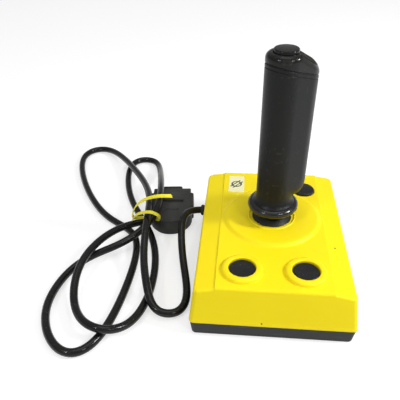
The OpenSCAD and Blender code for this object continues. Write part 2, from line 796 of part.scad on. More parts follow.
// The cap's side view: flat round the button, then falling away; d lowers it
module cap_block(d) {
  flat = thumb_r + 0.8;
  back = grip_offset + grip_r + 4;
  top = cap_top_z - d;
  side = [[-grip_r + d, grip_z], [back, grip_z],
          [back, top - (back - flat)*tan(cap_back_slope)], [flat - 0.4*d, top], [-grip_r + d, top]];
  wide = grip_r - d;
  at_stick() rotate([0, 0, grip_turn]) intersection() {
    translate([0, far, 0]) rotate([90, 0, 0]) linear_extrude(2*far)
      polygon(rounded(side, [0, 0, 0, 5, d > 0 ? 0.6 : 2]));
    translate([-far, 0, 0]) rotate([90, 0, 90]) linear_extrude(2*far)
      polygon(rounded([[-wide, grip_z], [wide, grip_z], [wide, top], [-wide, top]],
                      [0, 0, d > 0 ? 0.6 : 2, d > 0 ? 0.6 : 2]));
  }
}

module grip_body() {
  color([0.16, 0.16, 0.16]) difference() {
    union() {
      difference() {
        intersection() {
          grip_form(0);
          below_seam(0);
        }
        grip_groove(0);
        grip_groove(-band_h);
        difference() {
          grip_form(grip_wall);
          translate([-far, -far, grip_z - 1]) cube([2*far, 2*far, grip_floor + 1]);
        }
      }
      at_stick() translate([0, 0, grip_z + 1]) cylinder(r = post_r, h = post_top - grip_z - 1);
    }
    at_stick() translate([0, 0, grip_z - 1])
      cylinder(r = shaft_r + seat_gap, h = shaft_top - grip_z + 1.05);
  }
}

module grip_cap() {
  color([0.13, 0.13, 0.13]) difference() {
    intersection() {
      grip_form(0);
      cap_block(0);
    }
    below_seam(0);
    intersection() {
      grip_form(grip_wall);
      cap_block(grip_wall);
    }
    at_stick() translate([0, 0, thumb_stem_z])
      cylinder(r = thumb_flange_r + move_gap, h = cap_roof - thumb_stem_z);
    at_stick() translate([0, 0, cap_roof - 1])
      cylinder(r = thumb_r + move_gap, h = far);
  }
}

module thumb_board() {
  color("darkgreen") at_stick() translate([0, 0, post_top])
    cylinder(r = thumb_board_r, h = thumb_board_t);
}

module thumb_switch() {
  color("gray") at_stick() {
    translate([-thumb_switch_w/2, -thumb_switch_w/2, thumb_board_top])
      cube([thumb_switch_w, thumb_switch_w, thumb_switch_h]);
    translate([0, 0, thumb_board_top + 1]) cylinder(r = 1.7, h = thumb_switch_h);
  }
}

module thumb_button() {
  color([0.12, 0.12, 0.12]) at_stick() rotate_extrude($fn = 96)
    polygon(concat([[0, thumb_stem_z], [thumb_stem_r, thumb_stem_z], [thumb_stem_r, thumb_flange_z],
                    [thumb_flange_r, thumb_flange_z], [thumb_flange_r, thumb_flange_top],
                    [thumb_r, thumb_flange_top]],
                   corner_arc([thumb_r, thumb_flange_top], [thumb_r, thumb_top], [0, thumb_top], 0.8),
                   [[0, thumb_top]]));
}

module thumb_spring() {
  color("silver") at_stick() translate([0, 0, thumb_board_top + 0.05])
    coil(thumb_coil_r, thumb_wire, thumb_flange_z - thumb_board_top - 0.1, 5);
}

// A push button: a cup with a stop flange and a long stem down to the board
module push_button(top_z, crown) {
  roof = top_z - cap_wall;
  rim_z = top_z - max(crown, 0);
  round_r = 0.9;
  face = [for (k = [0 : 6])
    let (x = (button_r - round_r)*(1 - k/6))
    [x, rim_z + crown*(1 - pow(x/(button_r - round_r), 2))]];
  skirt = button_r - 1.5;
  flange_z = flange_top - flange_t;
  rotate_extrude($fn = 72)
    polygon(concat([[0, stem_z], [stem_r, stem_z], [stem_r, roof], [skirt, roof], [skirt, flange_z],
                    [flange_r, flange_z], [flange_r, flange_top], [button_r, flange_top]],
                   corner_arc([button_r, flange_top], [button_r, rim_z], [0, rim_z], round_r), face));
}

module button_spring(top_z) {
  translate([0, 0, board_top + 0.05])
    coil(coil_r, coil_wire, top_z - cap_wall - board_top - 0.1, 8);
}

module left_fire_button() {
  color([0.17, 0.17, 0.17]) translate([-button_x, -button_y, 0]) push_button(front_top, front_crown);
}

module right_fire_button() {
  color([0.17, 0.17, 0.17]) translate([button_x, -button_y, 0]) push_button(front_top, front_crown);
}

module rear_button() {
  color([0.17, 0.17, 0.17]) at_rear_button() push_button(rear_top, rear_crown);
}

module left_button_spring() {
  color("silver") translate([-button_x, -button_y, 0]) button_spring(front_top);
}

module right_button_spring() {
  color("silver") translate([button_x, -button_y, 0]) button_spring(front_top);
}

module rear_button_spring() {
  color("silver") at_rear_button() button_spring(rear_top);
}

module label_sticker() {
  color("lightyellow") translate([label_x, label_y, panel_z])
    linear_extrude(label_t) round_rect(label_w, label_l, 1);
}

// The grommet that the two housing halves grip, with a short tapered tail
module lead_bushing() {
  bore = lead_d/2 + run_gap;
  inner = -bushing_in - bushing_flange;
  outer = -bushing_out + bushing_flange;
  color("black") translate([0, lead_y, lead_z]) rotate([0, -90, 0]) rotate_extrude()
    polygon([[bore, inner], [bushing_r, inner], [bushing_r, -bushing_in],
             [bushing_neck_r, -bushing_in], [bushing_neck_r, -bushing_out],
             [bushing_r, -bushing_out], [bushing_r, outer],
             [bushing_neck_r, outer + 0.4], [bore + 0.6, -bushing_tip], [bore, -bushing_tip]]);
}

module lead_cord() {
  color([0.2, 0.2, 0.2]) tube(curve(LEAD, 2), lead_d/2, 10);
}

// The plug's hood in plan: ears at the mouth, sloped shoulders at the back
module hood_outline(t) {
  half = plug_w/2 - t;
  waist = half - 1.2;
  polygon(rounded([[-7 + t/2, t], [7 - t/2, t], [waist, 12], [waist, plug_l - ear_l],
                   [half, plug_l - ear_l + 1], [half, plug_l - t], [-half, plug_l - t],
                   [-half, plug_l - ear_l + 1], [-waist, plug_l - ear_l], [-waist, 12]],
                  [4, 4, 4, 0.4, 0.6, 1, 1, 0.6, 0.4, 4]));
}

module plug_hood() {
  color([0.2, 0.2, 0.2]) at_plug() difference() {
    union() {
      translate([0, 0, 0.8]) linear_extrude(plug_h - 1.6) hood_outline(0);
      linear_extrude(plug_h) hood_outline(0.8);
      translate([-front_w/2, plug_l - 2, (plug_h - front_h)/2]) cube([front_w, front_l + 2, front_h]);
    }
    translate([-9, 17, plug_h - 0.6]) cube([18, 9, 2]);
    translate([-front_w/2 + 2, plug_l - ear_l + 2.5, plug_h - 0.5]) cube([front_w - 4, 5, 2]);
    translate([0, plug_l + front_l - 4, plug_h/2]) rotate([-90, 0, 0])
      linear_extrude(10) nose_outline(-0.02);
  }
}

// The D-shaped outline of the mouth, drawn in by t
module nose_outline(t) {
  h = nose_h/2 - t;
  top = nose_w/2 - t;
  low = top - 1.5;
  polygon(rounded([[-top, -h], [top, -h], [low, h], [-low, h]], [1.6, 1.6, 1.6, 1.6]));
}

module plug_shell() {
  color("silver") at_plug() translate([0, plug_l + front_l - 3.9, plug_h/2]) rotate([-90, 0, 0])
    linear_extrude(nose_l + 3.9) difference() {
      nose_outline(0);
      nose_outline(nose_wall);
    }
}

module contact_places() {
  for (k = [-2 : 2])
    translate([k*pin_pitch, 0, plug_h/2 + row_pitch/2]) children();
  for (k = [-1.5 : 1.5])
    translate([k*pin_pitch, 0, plug_h/2 - row_pitch/2]) children();
}

module plug_insert() {
  color("black") at_plug() difference() {
    translate([0, plug_l + front_l - 3.9, plug_h/2]) rotate([-90, 0, 0])
      linear_extrude(nose_l + 3.5) nose_outline(nose_wall + 0.02);
    contact_places() translate([0, plug_l + front_l - 3, 0]) rotate([-90, 0, 0])
      cylinder(r = contact_hole, h = nose_l + 8);
  }
}

module plug_contacts() {
  color("goldenrod") at_plug() contact_places() translate([0, plug_l + front_l - 3, 0])
    rotate([-90, 0, 0]) difference() {
      cylinder(r = contact_hole - seat_gap, h = nose_l + 2);
      translate([0, 0, 3]) cylinder(r = contact_hole - 0.25, h = nose_l + 2);
    }
}

module twist_tie() {
  color("yellow") tube(curve(TIE, 4), tie_r, 8);
}

base_tray();
upper_shell();
rubber_feet();
case_screws();
circuit_board();
board_screws();
pivot_housing();
housing_screws();
direction_switches();
contact_domes();
board_connector();
gimbal_ring();
gimbal_pins();
cross_pin();
stick_shaft();
actuator_disc();
actuator_screw();
dust_dome();
centring_spring();
collar();
grip_body();
grip_cap();
thumb_board();
thumb_switch();
thumb_button();
thumb_spring();
left_fire_button();
right_fire_button();
rear_button();
left_button_spring();
right_button_spring();
rear_button_spring();
label_sticker();
lead_bushing();
lead_cord();
plug_hood();
plug_shell();
plug_insert();
plug_contacts();
twist_tie();
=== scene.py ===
import math

import bmesh
import bpy
from mathutils import Matrix, Vector
from mathutils.geometry import delaunay_2d_cdt


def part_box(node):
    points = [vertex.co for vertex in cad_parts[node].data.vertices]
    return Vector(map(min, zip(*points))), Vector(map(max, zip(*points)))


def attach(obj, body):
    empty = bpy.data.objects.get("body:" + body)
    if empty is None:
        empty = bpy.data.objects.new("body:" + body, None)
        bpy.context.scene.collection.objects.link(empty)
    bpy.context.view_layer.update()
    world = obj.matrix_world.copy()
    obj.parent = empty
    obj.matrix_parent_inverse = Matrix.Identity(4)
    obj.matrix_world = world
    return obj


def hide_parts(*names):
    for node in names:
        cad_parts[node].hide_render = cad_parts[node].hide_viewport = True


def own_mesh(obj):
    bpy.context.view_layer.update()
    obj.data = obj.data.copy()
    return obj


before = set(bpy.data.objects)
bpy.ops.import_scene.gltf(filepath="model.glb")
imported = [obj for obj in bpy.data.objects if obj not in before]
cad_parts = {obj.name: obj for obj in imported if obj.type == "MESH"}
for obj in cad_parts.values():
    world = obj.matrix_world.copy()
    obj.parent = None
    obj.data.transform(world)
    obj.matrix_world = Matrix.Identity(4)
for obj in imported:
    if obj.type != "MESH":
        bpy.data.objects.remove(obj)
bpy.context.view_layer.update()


# Base tray
# The dark lower half of the housing, injection moulded in one piece with a fine
# matt grain. The feet and screws sit in its underside, and the shell stands on its rim.

def add(tree, kind, inputs=None, **settings):
    """A node with its settings, and values or links on its inputs."""
    node = tree.nodes.new(kind)
    for name, value in settings.items():
        setattr(node, name, value)
    for name, value in (inputs or {}).items():
        if isinstance(value, bpy.types.NodeSocket):
            tree.links.new(value, node.inputs[name])
        else:
            node.inputs[name].default_value = value
    return node


def calc(tree, operation, *values):
    """The result of a math node on sockets or numbers."""
    return add(tree, "ShaderNodeMath", dict(enumerate(values)), operation=operation).outputs[0]


def remap(tree, value, low, high, to_low=0.0, to_high=1.0):
    """A value carried from one range to another and held inside it."""
    ends = {"Value": value, "From Min": low, "From Max": high, "To Min": to_low, "To Max": to_high}
    return add(tree, "ShaderNodeMapRange", ends).outputs[0]


def object_place(tree):
    """The place on the object, in metres."""
    return add(tree, "ShaderNodeTexCoord").outputs["Object"]


def noise(tree, place, scale, detail, roughness=0.5):
    """Soft noise round one half."""
    return add(tree, "ShaderNodeTexNoise", {"Vector": place, "Scale": scale, "Detail": detail,
                                            "Roughness": roughness}).outputs["Fac"]


def shader_group(name, inputs, outputs):
    """A shader node group with float inputs and outputs, and its two end nodes."""
    group = bpy.data.node_groups.new(name, "ShaderNodeTree")
    for label, value in inputs.items():
        socket = group.interface.new_socket(label, in_out="INPUT", socket_type="NodeSocketFloat")
        socket.default_value = value
    for label in outputs:
        group.interface.new_socket(label, in_out="OUTPUT", socket_type="NodeSocketFloat")
    start = group.nodes.new("NodeGroupInput")
    end = group.nodes.new("NodeGroupOutput")
    return group, start.outputs, end.inputs


# Grain of a moulded surface: fine pits for the bump, and a slow drift of tone
grain_group, grain_in, grain_out = shader_group(
    "moulded_grain", {"Scale": 2500.0, "Drift": 40.0}, ["Height", "Tone"])
place = object_place(grain_group)
pits = noise(grain_group, place, grain_in["Scale"], 3.0, 0.6)
cells = add(grain_group, "ShaderNodeTexVoronoi", {"Vector": place, "Scale": grain_in["Scale"]})
height = calc(grain_group, "ADD", pits, cells.outputs["Distance"])
drift = noise(grain_group, place, grain_in["Drift"], 4.0, 0.55)
grain_group.links.new(height, grain_out["Height"])
grain_group.links.new(remap(grain_group, drift, 0.3, 0.7), grain_out["Tone"])

# Wear of edges: where the surface bends within a small radius, broken up by noise
wear_group, wear_in, wear_out = shader_group(
    "edge_wear", {"Radius": 0.0006, "Amount": 0.5}, ["Mask"])
bent = add(wear_group, "ShaderNodeBevel", {"Radius": wear_in["Radius"]}, samples=4)
flat = add(wear_group, "ShaderNodeNewGeometry").outputs["Normal"]
turned = add(wear_group, "ShaderNodeVectorMath", {0: bent.outputs[0], 1: flat}, operation="DOT_PRODUCT")
bend = remap(wear_group, turned.outputs["Value"], 0.99, 0.80)
breaks = noise(wear_group, object_place(wear_group), 260.0, 5.0)
worn = calc(wear_group, "MULTIPLY", bend, remap(wear_group, breaks, 0.40, 0.62))
wear_group.links.new(calc(wear_group, "MULTIPLY", worn, wear_in["Amount"]), wear_out["Mask"])

# Handling marks: dust that settles on what faces up, and long fine scratches
mark_group, mark_in, mark_out = shader_group(
    "handling_marks", {"Dust": 0.3, "Scratches": 0.3}, ["Dust", "Scratches"])
place = object_place(mark_group)
facing = add(mark_group, "ShaderNodeSeparateXYZ",
             {0: add(mark_group, "ShaderNodeNewGeometry").outputs["Normal"]}).outputs["Z"]
settled = remap(mark_group, noise(mark_group, place, 900.0, 2.0), 0.66, 0.74)
dusty = calc(mark_group, "MULTIPLY", settled, remap(mark_group, facing, 0.2, 1.0))
lines = 0.0
for turn in (0.4, 1.9, 2.8):
    along = add(mark_group, "ShaderNodeMapping", {"Vector": place, "Rotation": (0.3, 0.2, turn),
                                                  "Scale": (30.0, 1800.0, 300.0)})
    streak = noise(mark_group, along.outputs[0], 1.0, 0.0)
    lines = calc(mark_group, "MAXIMUM", lines, remap(mark_group, streak, 0.76, 0.80))
mark_group.links.new(calc(mark_group, "MULTIPLY", dusty, mark_in["Dust"]), mark_out["Dust"])
mark_group.links.new(calc(mark_group, "MULTIPLY", lines, mark_in["Scratches"]), mark_out["Scratches"])


def use(tree, group, **values):
    """A node group placed in a material with its own values."""
    return add(tree, "ShaderNodeGroup", values, node_tree=group).outputs


def blend(tree, mask, below, above):
    """One colour over another by a mask; each is a socket or a colour."""
    ends = [end if isinstance(end, bpy.types.NodeSocket) else (*end, 1.0) for end in (below, above)]
    return add(tree, "ShaderNodeMix", {0: mask, 6: ends[0], 7: ends[1]}, data_type="RGBA").outputs[2]


def new_material(name):
    """A material with its node tree and its shader."""
    material = bpy.data.materials.new(name)
    material.use_nodes = True
    return material, material.node_tree, material.node_tree.nodes["Principled BSDF"]


def surface(tree, shader, colour, gloss, height, strength, depth):
    """Links a colour, a roughness and a bump to a shader."""
    bump = add(tree, "ShaderNodeBump", {"Strength": strength, "Distance": depth, "Height": height})
    for name, socket in (("Base Color", colour), ("Roughness", gloss), ("Normal", bump.outputs[0])):
        tree.links.new(socket, shader.inputs[name])


def moulded(name, colour, drifted, worn, rough, grain=2500.0, depth=0.00002, dust=0.3,
            scratches=0.3, wear=0.4, specular=0.4):
    """A moulded plastic: two tones, worn edges, dust, scratches and a grain in its gloss."""
    material, tree, shader = new_material(name)
    shader.inputs["Specular IOR Level"].default_value = specular
    grained = use(tree, grain_group, Scale=grain)
    edges = use(tree, wear_group, Amount=wear)
    marks = use(tree, mark_group, Dust=dust, Scratches=scratches)
    base = blend(tree, grained["Tone"], colour, drifted)
    base = blend(tree, edges["Mask"], base, worn)
    base = blend(tree, marks["Dust"], base, [0.5 * c + 0.25 for c in colour])
    base = blend(tree, marks["Scratches"], base, worn)
    gloss = remap(tree, grained["Tone"], 0.0, 1.0, rough - 0.04, rough + 0.06)
    dulled = calc(tree, "MULTIPLY_ADD", marks["Dust"], 0.3, gloss)
    ground = calc(tree, "MULTIPLY_ADD", marks["Scratches"], -0.8, grained["Height"])
    surface(tree, shader, base, dulled, ground, 0.5, depth)
    return material


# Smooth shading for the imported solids, with their real edges kept
sharp_angle = math.radians(34)
smooth_edges = bpy.data.node_groups.new("smooth_edges", "GeometryNodeTree")
for way in ("INPUT", "OUTPUT"):
    smooth_edges.interface.new_socket("Geometry", in_out=way, socket_type="NodeSocketGeometry")
solid = smooth_edges.nodes.new("NodeGroupInput").outputs[0]
plain = add(smooth_edges, "GeometryNodeRemoveAttribute", {"Geometry": solid, "Name": "custom_normal"})
joined = add(smooth_edges, "GeometryNodeMergeByDistance", {"Geometry": plain.outputs[0],
                                                           "Distance": 0.000002})
soft = add(smooth_edges, "GeometryNodeSetShadeSmooth", {"Geometry": joined.outputs[0]})
crease = add(smooth_edges, "FunctionNodeCompare",
             {"A": add(smooth_edges, "GeometryNodeInputMeshEdgeAngle").outputs["Unsigned Angle"],
              "B": sharp_angle}, operation="GREATER_THAN")
hard = add(smooth_edges, "GeometryNodeSetShadeSmooth",
           {"Geometry": soft.outputs[0], "Selection": crease.outputs[0], "Shade Smooth": False},
           domain="EDGE")
smooth_edges.links.new(hard.outputs[0], smooth_edges.nodes.new("NodeGroupOutput").inputs[0])


def dress(node, material):
    """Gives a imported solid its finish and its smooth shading."""
    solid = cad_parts[node]
    solid.data.materials.clear()
    solid.data.materials.append(material)
    solid.modifiers.new("smooth_edges", "NODES").node_group = smooth_edges


tray_plastic = moulded("tray_plastic", (0.034, 0.037, 0.036), (0.042, 0.044, 0.042),
                       (0.11, 0.11, 0.105), rough=0.55, grain=3200.0, depth=0.00004, specular=0.2)
dress("base_tray", tray_plastic)


# Rubber feet and case screws
# Four soft feet pressed into pockets of the tray, and four plated cross-head screws
# that go up through the tray into the shell's bosses.

foot_rubber = moulded("foot_rubber", (0.022, 0.022, 0.021), (0.034, 0.033, 0.031),
                      (0.09, 0.088, 0.08), rough=0.78, grain=1400.0, depth=0.00005, dust=0.6,
                      scratches=0.1, specular=0.25)
dress("rubber_feet", foot_rubber)


def metal(name, colour, stained, rough, brush=(40.0, 40.0, 2600.0)):
    """A plated or drawn metal: fine drawing lines, a stained tone and bright rubbed edges."""
    material, tree, shader = new_material(name)
    shader.inputs["Metallic"].default_value = 1.0
    grained = use(tree, grain_group, Scale=900.0, Drift=160.0)
    edges = use(tree, wear_group, Amount=0.6)
    base = blend(tree, grained["Tone"], colour, stained)
    base = blend(tree, edges["Mask"], base, [min(1.0, 1.25 * c) for c in colour])
    drawn = add(tree, "ShaderNodeMapping", {"Vector": object_place(tree), "Scale": brush})
    lines = noise(tree, drawn.outputs[0], 1.0, 3.0)
    gloss = remap(tree, lines, 0.0, 1.0, rough - 0.07, rough + 0.09)
    surface(tree, shader, base, gloss, lines, 0.3, 0.00001)
    return material


plated_steel = metal("plated_steel", (0.60, 0.60, 0.59), (0.50, 0.49, 0.46), 0.30)
dress("case_screws", plated_steel)


# Circuit board and what is soldered or screwed to it
# A varnished green laminate with copper tracks under the mask. The four direction
# switches, the button contacts and the lead's connector stand on it.

def laminate(name):
    """Green solder mask over lighter tracks in two directions."""
    material, tree, shader = new_material(name)
    grained = use(tree, grain_group, Scale=1200.0, Drift=60.0)
    bricks = {"Vector": object_place(tree), "Scale": 160.0, "Mortar Size": 0.06,
              "Color1": (0, 0, 0, 1), "Color2": (0, 0, 0, 1), "Mortar": (1, 1, 1, 1)}
    tracks = add(tree, "ShaderNodeTexBrick", bricks).outputs["Color"]
    base = blend(tree, grained["Tone"], (0.010, 0.085, 0.032), (0.014, 0.110, 0.040))
    base = blend(tree, tracks, base, (0.035, 0.20, 0.075))
    gloss = remap(tree, grained["Tone"], 0.0, 1.0, 0.22, 0.36)
    surface(tree, shader, base, gloss, tracks, 0.4, 0.00004)
    return material


board_laminate = laminate("board_laminate")
dress("circuit_board", board_laminate)
dress("board_screws", plated_steel)
switch_plastic = moulded("switch_plastic", (0.055, 0.056, 0.058), (0.075, 0.075, 0.077),
                         (0.2, 0.2, 0.2), rough=0.45)
dress("direction_switches", switch_plastic)
contact_brass = metal("contact_brass", (0.72, 0.50, 0.20), (0.58, 0.38, 0.14), 0.26)
dress("contact_domes", contact_brass)
nylon = moulded("nylon", (0.66, 0.62, 0.51), (0.72, 0.68, 0.58), (0.80, 0.78, 0.70), rough=0.42,
                dust=0.2)
dress("board_connector", nylon)


# Gimbal
# A nylon bearing screwed through the board to the tray carries a ring on two steel pins,
# and the ring carries the shaft on a cross pin. A disc under the shaft presses the switches.

dress("pivot_housing", nylon)
dress("housing_screws", plated_steel)
dress("gimbal_ring", switch_plastic)
drawn_steel = metal("drawn_steel", (0.66, 0.66, 0.66), (0.58, 0.57, 0.55), 0.24, (2400.0, 2400.0, 60.0))
for part in ("gimbal_pins", "cross_pin", "stick_shaft", "actuator_screw"):
    dress(part, drawn_steel)
dress("actuator_disc", nylon)


# Centring spring
# A coil of spring wire between the bearing and the dome. It closes up on one side
# when the stick is tilted, and brings the stick back to the middle.

def new_object(name, data):
    """A new object in the scene."""
    made = bpy.data.objects.new(name, data)
    bpy.context.scene.collection.objects.link(made)
    return made


def piece(name, mesh_code, material, body, node):
    """A finished piece from mesh code in millimetres, on its body and in its material slot."""
    mesh = bpy.data.meshes.new(name)
    bmesh.ops.scale(mesh_code, vec=(0.001, 0.001, 0.001), verts=mesh_code.verts)
    bmesh.ops.recalc_face_normals(mesh_code, faces=mesh_code.faces)
    mesh_code.to_mesh(mesh)
    mesh_code.free()
    mesh.shade_smooth()
    mesh.set_sharp_from_angle(angle=sharp_angle)
    mesh.materials.append(material)
    made = new_object(name, mesh)
    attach(made, body)
    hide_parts(node)
    return made


def loft(bm, rings):
    """Faces between rings of points; returns the rings of vertices."""
    made = [[bm.verts.new(point) for point in ring] for ring in rings]
    count = len(made[0])
    for lower, upper in zip(made, made[1:]):
        for i in range(count):
            j = (i + 1) % count
            bm.faces.new((lower[i], lower[j], upper[j], upper[i]))
    return made


def closed_loft(bm, rings):
    """A loft with a face over each end."""
    made = loft(bm, rings)
    bm.faces.new(made[0])
    bm.faces.new(made[-1])


def sweep(bm, path, across, section):
    """Carries a closed section along a path, with its first axis held near a direction."""
    rings = []
    for i, point in enumerate(path):
        tangent = (path[min(i + 1, len(path) - 1)] - path[max(i - 1, 0)]).normalized()
        side = (across - across.dot(tangent) * tangent).normalized()
        up = side.cross(tangent)
        rings.append([point + a * side + b * up for a, b in section])
    closed_loft(bm, rings)


def circle(radius, count, x=0.0, y=0.0):
    """Points of a circle round a point."""
    turns = [2 * math.pi * k / count for k in range(count)]
    return [(x + radius * math.cos(turn), y + radius * math.sin(turn)) for turn in turns]


spring_wire = metal("spring_wire", (0.50, 0.51, 0.53), (0.42, 0.42, 0.42), 0.28)
steps_per_turn = 28
wire_sides = 10


def coil_spring(node, wire, turns, body, room=0.0):
    """A compression spring with closed ends in the node's place.
    Room is what it leaves free above it for a part that tilts."""
    low, high = (1000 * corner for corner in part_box(node))
    middle = (low + high) / 2
    radius = (high.x - low.x) / 2 - wire
    tall = high.z - low.z - room
    closed_end = 1.6 * wire
    path = []
    for i in range(int(turns * steps_per_turn) + 1):
        share = i / (turns * steps_per_turn)
        angle = 2 * math.pi * turns * share
        ease = (min(1.0, share * turns) - min(1.0, (1 - share) * turns)) * closed_end / 2
        rise = low.z + wire + (tall - 2 * wire - closed_end) * share + ease + closed_end / 2
        x, y = middle.x + radius * math.cos(angle), middle.y + radius * math.sin(angle)
        path.append(Vector((x, y, rise)))
    bm = bmesh.new()
    sweep(bm, path, Vector((0, 0, 1)), circle(wire, wire_sides))
    made = piece(node + "_coil", bm, spring_wire, body, node)
    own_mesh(made)


coil_spring("centring_spring", wire=0.5, turns=2, body="base",
            room=2.5)


# Dust dome and collar
# A black ball cap fills the shell's opening at every tilt. Above it the collar, a
# polished round bead with a thin lip under it, is pushed onto the shaft below the grip.

gloss_black = moulded("gloss_black", (0.0085, 0.0088, 0.0088), (0.011, 0.011, 0.0105),
                      (0.05, 0.05, 0.048), rough=0.18, grain=1500.0, depth=0.000003, dust=0.2,
                      scratches=0.25, specular=0.5, wear=0.2)
dome_black = moulded("dome_black", (0.020, 0.020, 0.0185), (0.024, 0.024, 0.022), (0.05, 0.05, 0.05),
                     rough=0.45, depth=0.00001, dust=0.3, specular=0.2)
dress("dust_dome", dome_black)
dress("collar", gloss_black)


# Upper shell
# The yellow top half of the housing, one injection moulding with leaning walls, a raised
# centre panel, a shallow crater round the stick and a raised ring round each front button.

shell_low, shell_high = (1000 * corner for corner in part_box("upper_shell"))
half_w = shell_high.x
front, rear = shell_low.y, shell_high.y
seam_z = 11.0
shoulder_z = 32.0
shoulder_half = 47.35
front_lean = 5.4
rear_lean = 2.6
corner_r = 3.0
edge_r = 1.3
rim_round = 0.35
skirting_h = 1.7
skirting_step = 0.10
panel_z = 35.0
panel_half = 34.8
panel_step = 0.8
wall = 2.2
stick_y = 9.4
pivot_z = 22.0
hole_r = 13.1
hole_round = 0.2
hole_sides = 144
crater_floor_r = 11.5
crater_foot = 34.1
crater_crest = 30.4
crater_h = 1.8
crater_lip_h = 0.8
seat_r = math.hypot(hole_r, panel_z + crater_lip_h - pivot_z)
button_x, button_y = 19.0, -45.8
rear_button = (24.0, 44.0)
button_hole = 8.37
rear_round = 0.5
ring_foot = 13.1
ring_top = 9.97
ring_h = 2.4
ring_sides = 72
lip_z = 33.0
sleeve_z = 26.3
lip_round = 0.8
post_x, post_y = 41.5, 58.0
post_r, post_bore = 3.4, 1.6
post_low, post_high = 6.5, 31.0
# The step up to the panel: distance inside the panel's edge, and height
panel_edge = [(-0.22, 0.0), (-0.06, 0.05), (0.0, 0.22), (0.06, 0.55), (0.22, 0.74), (0.55, 0.8)]


def cover(bm, rim, height, loops=(), lines=(), holes=()):
    """Fills a rim with triangles that follow height(x, y). Loops and lines are drawn into
    the net, and round holes (x, y, radius) stay open."""
    count = len(rim)
    points = [Vector((v.co.x, v.co.y)) for v in rim]
    edges = [(i, (i + 1) % count) for i in range(count)]
    for chain, open_end in [(loop, 0) for loop in loops] + [(line, 1) for line in lines]:
        first, size = len(points), len(chain)
        points += [Vector(p) for p in chain]
        edges += [(first + i, first + (i + 1) % size) for i in range(size - open_end)]
    net, _, triangles, sources, _, _ = delaunay_2d_cdt(points, edges, [], 1, 1e-5)
    verts = []
    for point, ids in zip(net, sources):
        on_rim = [i for i in ids if i < count]
        verts.append(rim[on_rim[0]] if on_rim
                     else bm.verts.new((point.x, point.y, height(point.x, point.y))))
    for triangle in triangles:
        middle = sum((net[i] for i in triangle), Vector((0, 0))) / 3
        if all(math.hypot(middle.x - x, middle.y - y) > r for x, y, r in holes):
            corners = [verts[i] for i in triangle]
            if len(set(corners)) == 3:
                bm.faces.new(corners)
    bmesh.ops.delete(bm, geom=[v for v in verts if v.is_valid and not v.link_faces], context="VERTS")


def skirt(bm, x, y, radius, steps):
    """Draws the edge of a round hole down, or in, through steps of (radius, z)."""
    upper = [v for v in bm.verts if v.is_boundary
             and abs(math.hypot(v.co.x - x, v.co.y - y) - radius) < 0.06]
    upper.sort(key=lambda v: math.atan2(v.co.y - y, v.co.x - x))
    for r, z in steps:
        lower = []
        for vert in upper:
            out = math.hypot(vert.co.x - x, vert.co.y - y)
            lower.append(bm.verts.new((x + (vert.co.x - x) * r / out, y + (vert.co.y - y) * r / out, z)))
        for i in range(len(upper)):
            bm.faces.new((upper[i - 1], upper[i], lower[i], lower[i - 1]))
        upper = lower
    bm.normal_update()


def post(bm, x, y):
    """A hollow round screw post, open at its ends' bores."""
    steps = ((post_bore, post_high), (post_bore, post_low), (post_r, post_low), (post_r, post_high))
    loft(bm, [[(*p, z) for p in circle(radius, 24, x, y)] for radius, z in steps])


def panel_height(x):
    """Height of the plain top: sloping side strips, then the step up to the panel."""
    inside = panel_half - abs(x)
    strip = panel_z - panel_step
    if inside <= panel_edge[0][0]:
        slope = (strip - shoulder_z) / (shoulder_half - panel_half)
        return strip + slope * (inside - panel_edge[0][0])
    for (a, low), (b, high) in zip(panel_edge, panel_edge[1:]):
        if inside <= b:
            return strip + low + (high - low) * (inside - a) / (b - a)
    return panel_z


def wave(share):
    """A smooth rise from 0 to 1."""
    return (1 - math.cos(math.pi * min(1.0, max(0.0, share)))) / 2


def hole_edge(distance, drop):
    """How far a rounded hole edge has fallen, this far outside the hole."""
    left = max(0.0, drop - distance)
    return drop - math.sqrt(max(0.0, drop * drop - left * left))


def ring_height(r):
    """Profile of the raised ring: a soft foot, a steep round flank and a rounded inner lip."""
    share = min(1.0, max(0.0, (ring_foot - r) / (ring_foot - ring_top)))
    flank = math.sqrt(1 - (1 - share) ** 2)
    return ring_h * flank * wave(4.0 * share) - hole_edge(r - button_hole, lip_round)


def shell_height(x, y):
    """Height of the whole top, with the crater and the finger rings."""
    z = panel_height(x)
    r = math.hypot(x, y - stick_y)
    if r > crater_crest:
        z += crater_h * wave((crater_foot - r) / (crater_foot - crater_crest))
    else:
        share = (crater_crest - r) / (crater_crest - crater_floor_r)
        z += crater_lip_h + (crater_h - crater_lip_h) * wave(1 - share)
        z -= hole_edge(r - hole_r, hole_round)
    for side in (-1, 1):
        r = math.hypot(x - side * button_x, y - button_y)
        if r < ring_foot:
            z += ring_height(r)
    r = math.hypot(x - rear_button[0], y - rear_button[1])
    return z - hole_edge(r - button_hole, rear_round)


# Stations round the plan: the straight edges with the panel's creases, and the corners
crease_x = [side * (panel_half - inside) for side in (-1, 1) for inside, _ in panel_edge]
edge_x = sorted(crease_x + [-41.0, -24.0, -12.0, 0.0, 12.0, 24.0, 41.0])
side_y = [-57.0, -45.0, -30.0, -15.0, 0.0, 15.0, 30.0, 45.0, 57.0]
corner_steps = 7


def corner_stations(across, along, first):
    """A quarter turn of stations from an angle, round the corner on these sides."""
    return [("corner", across, along, first + 90 * k / corner_steps) for k in range(corner_steps + 1)]


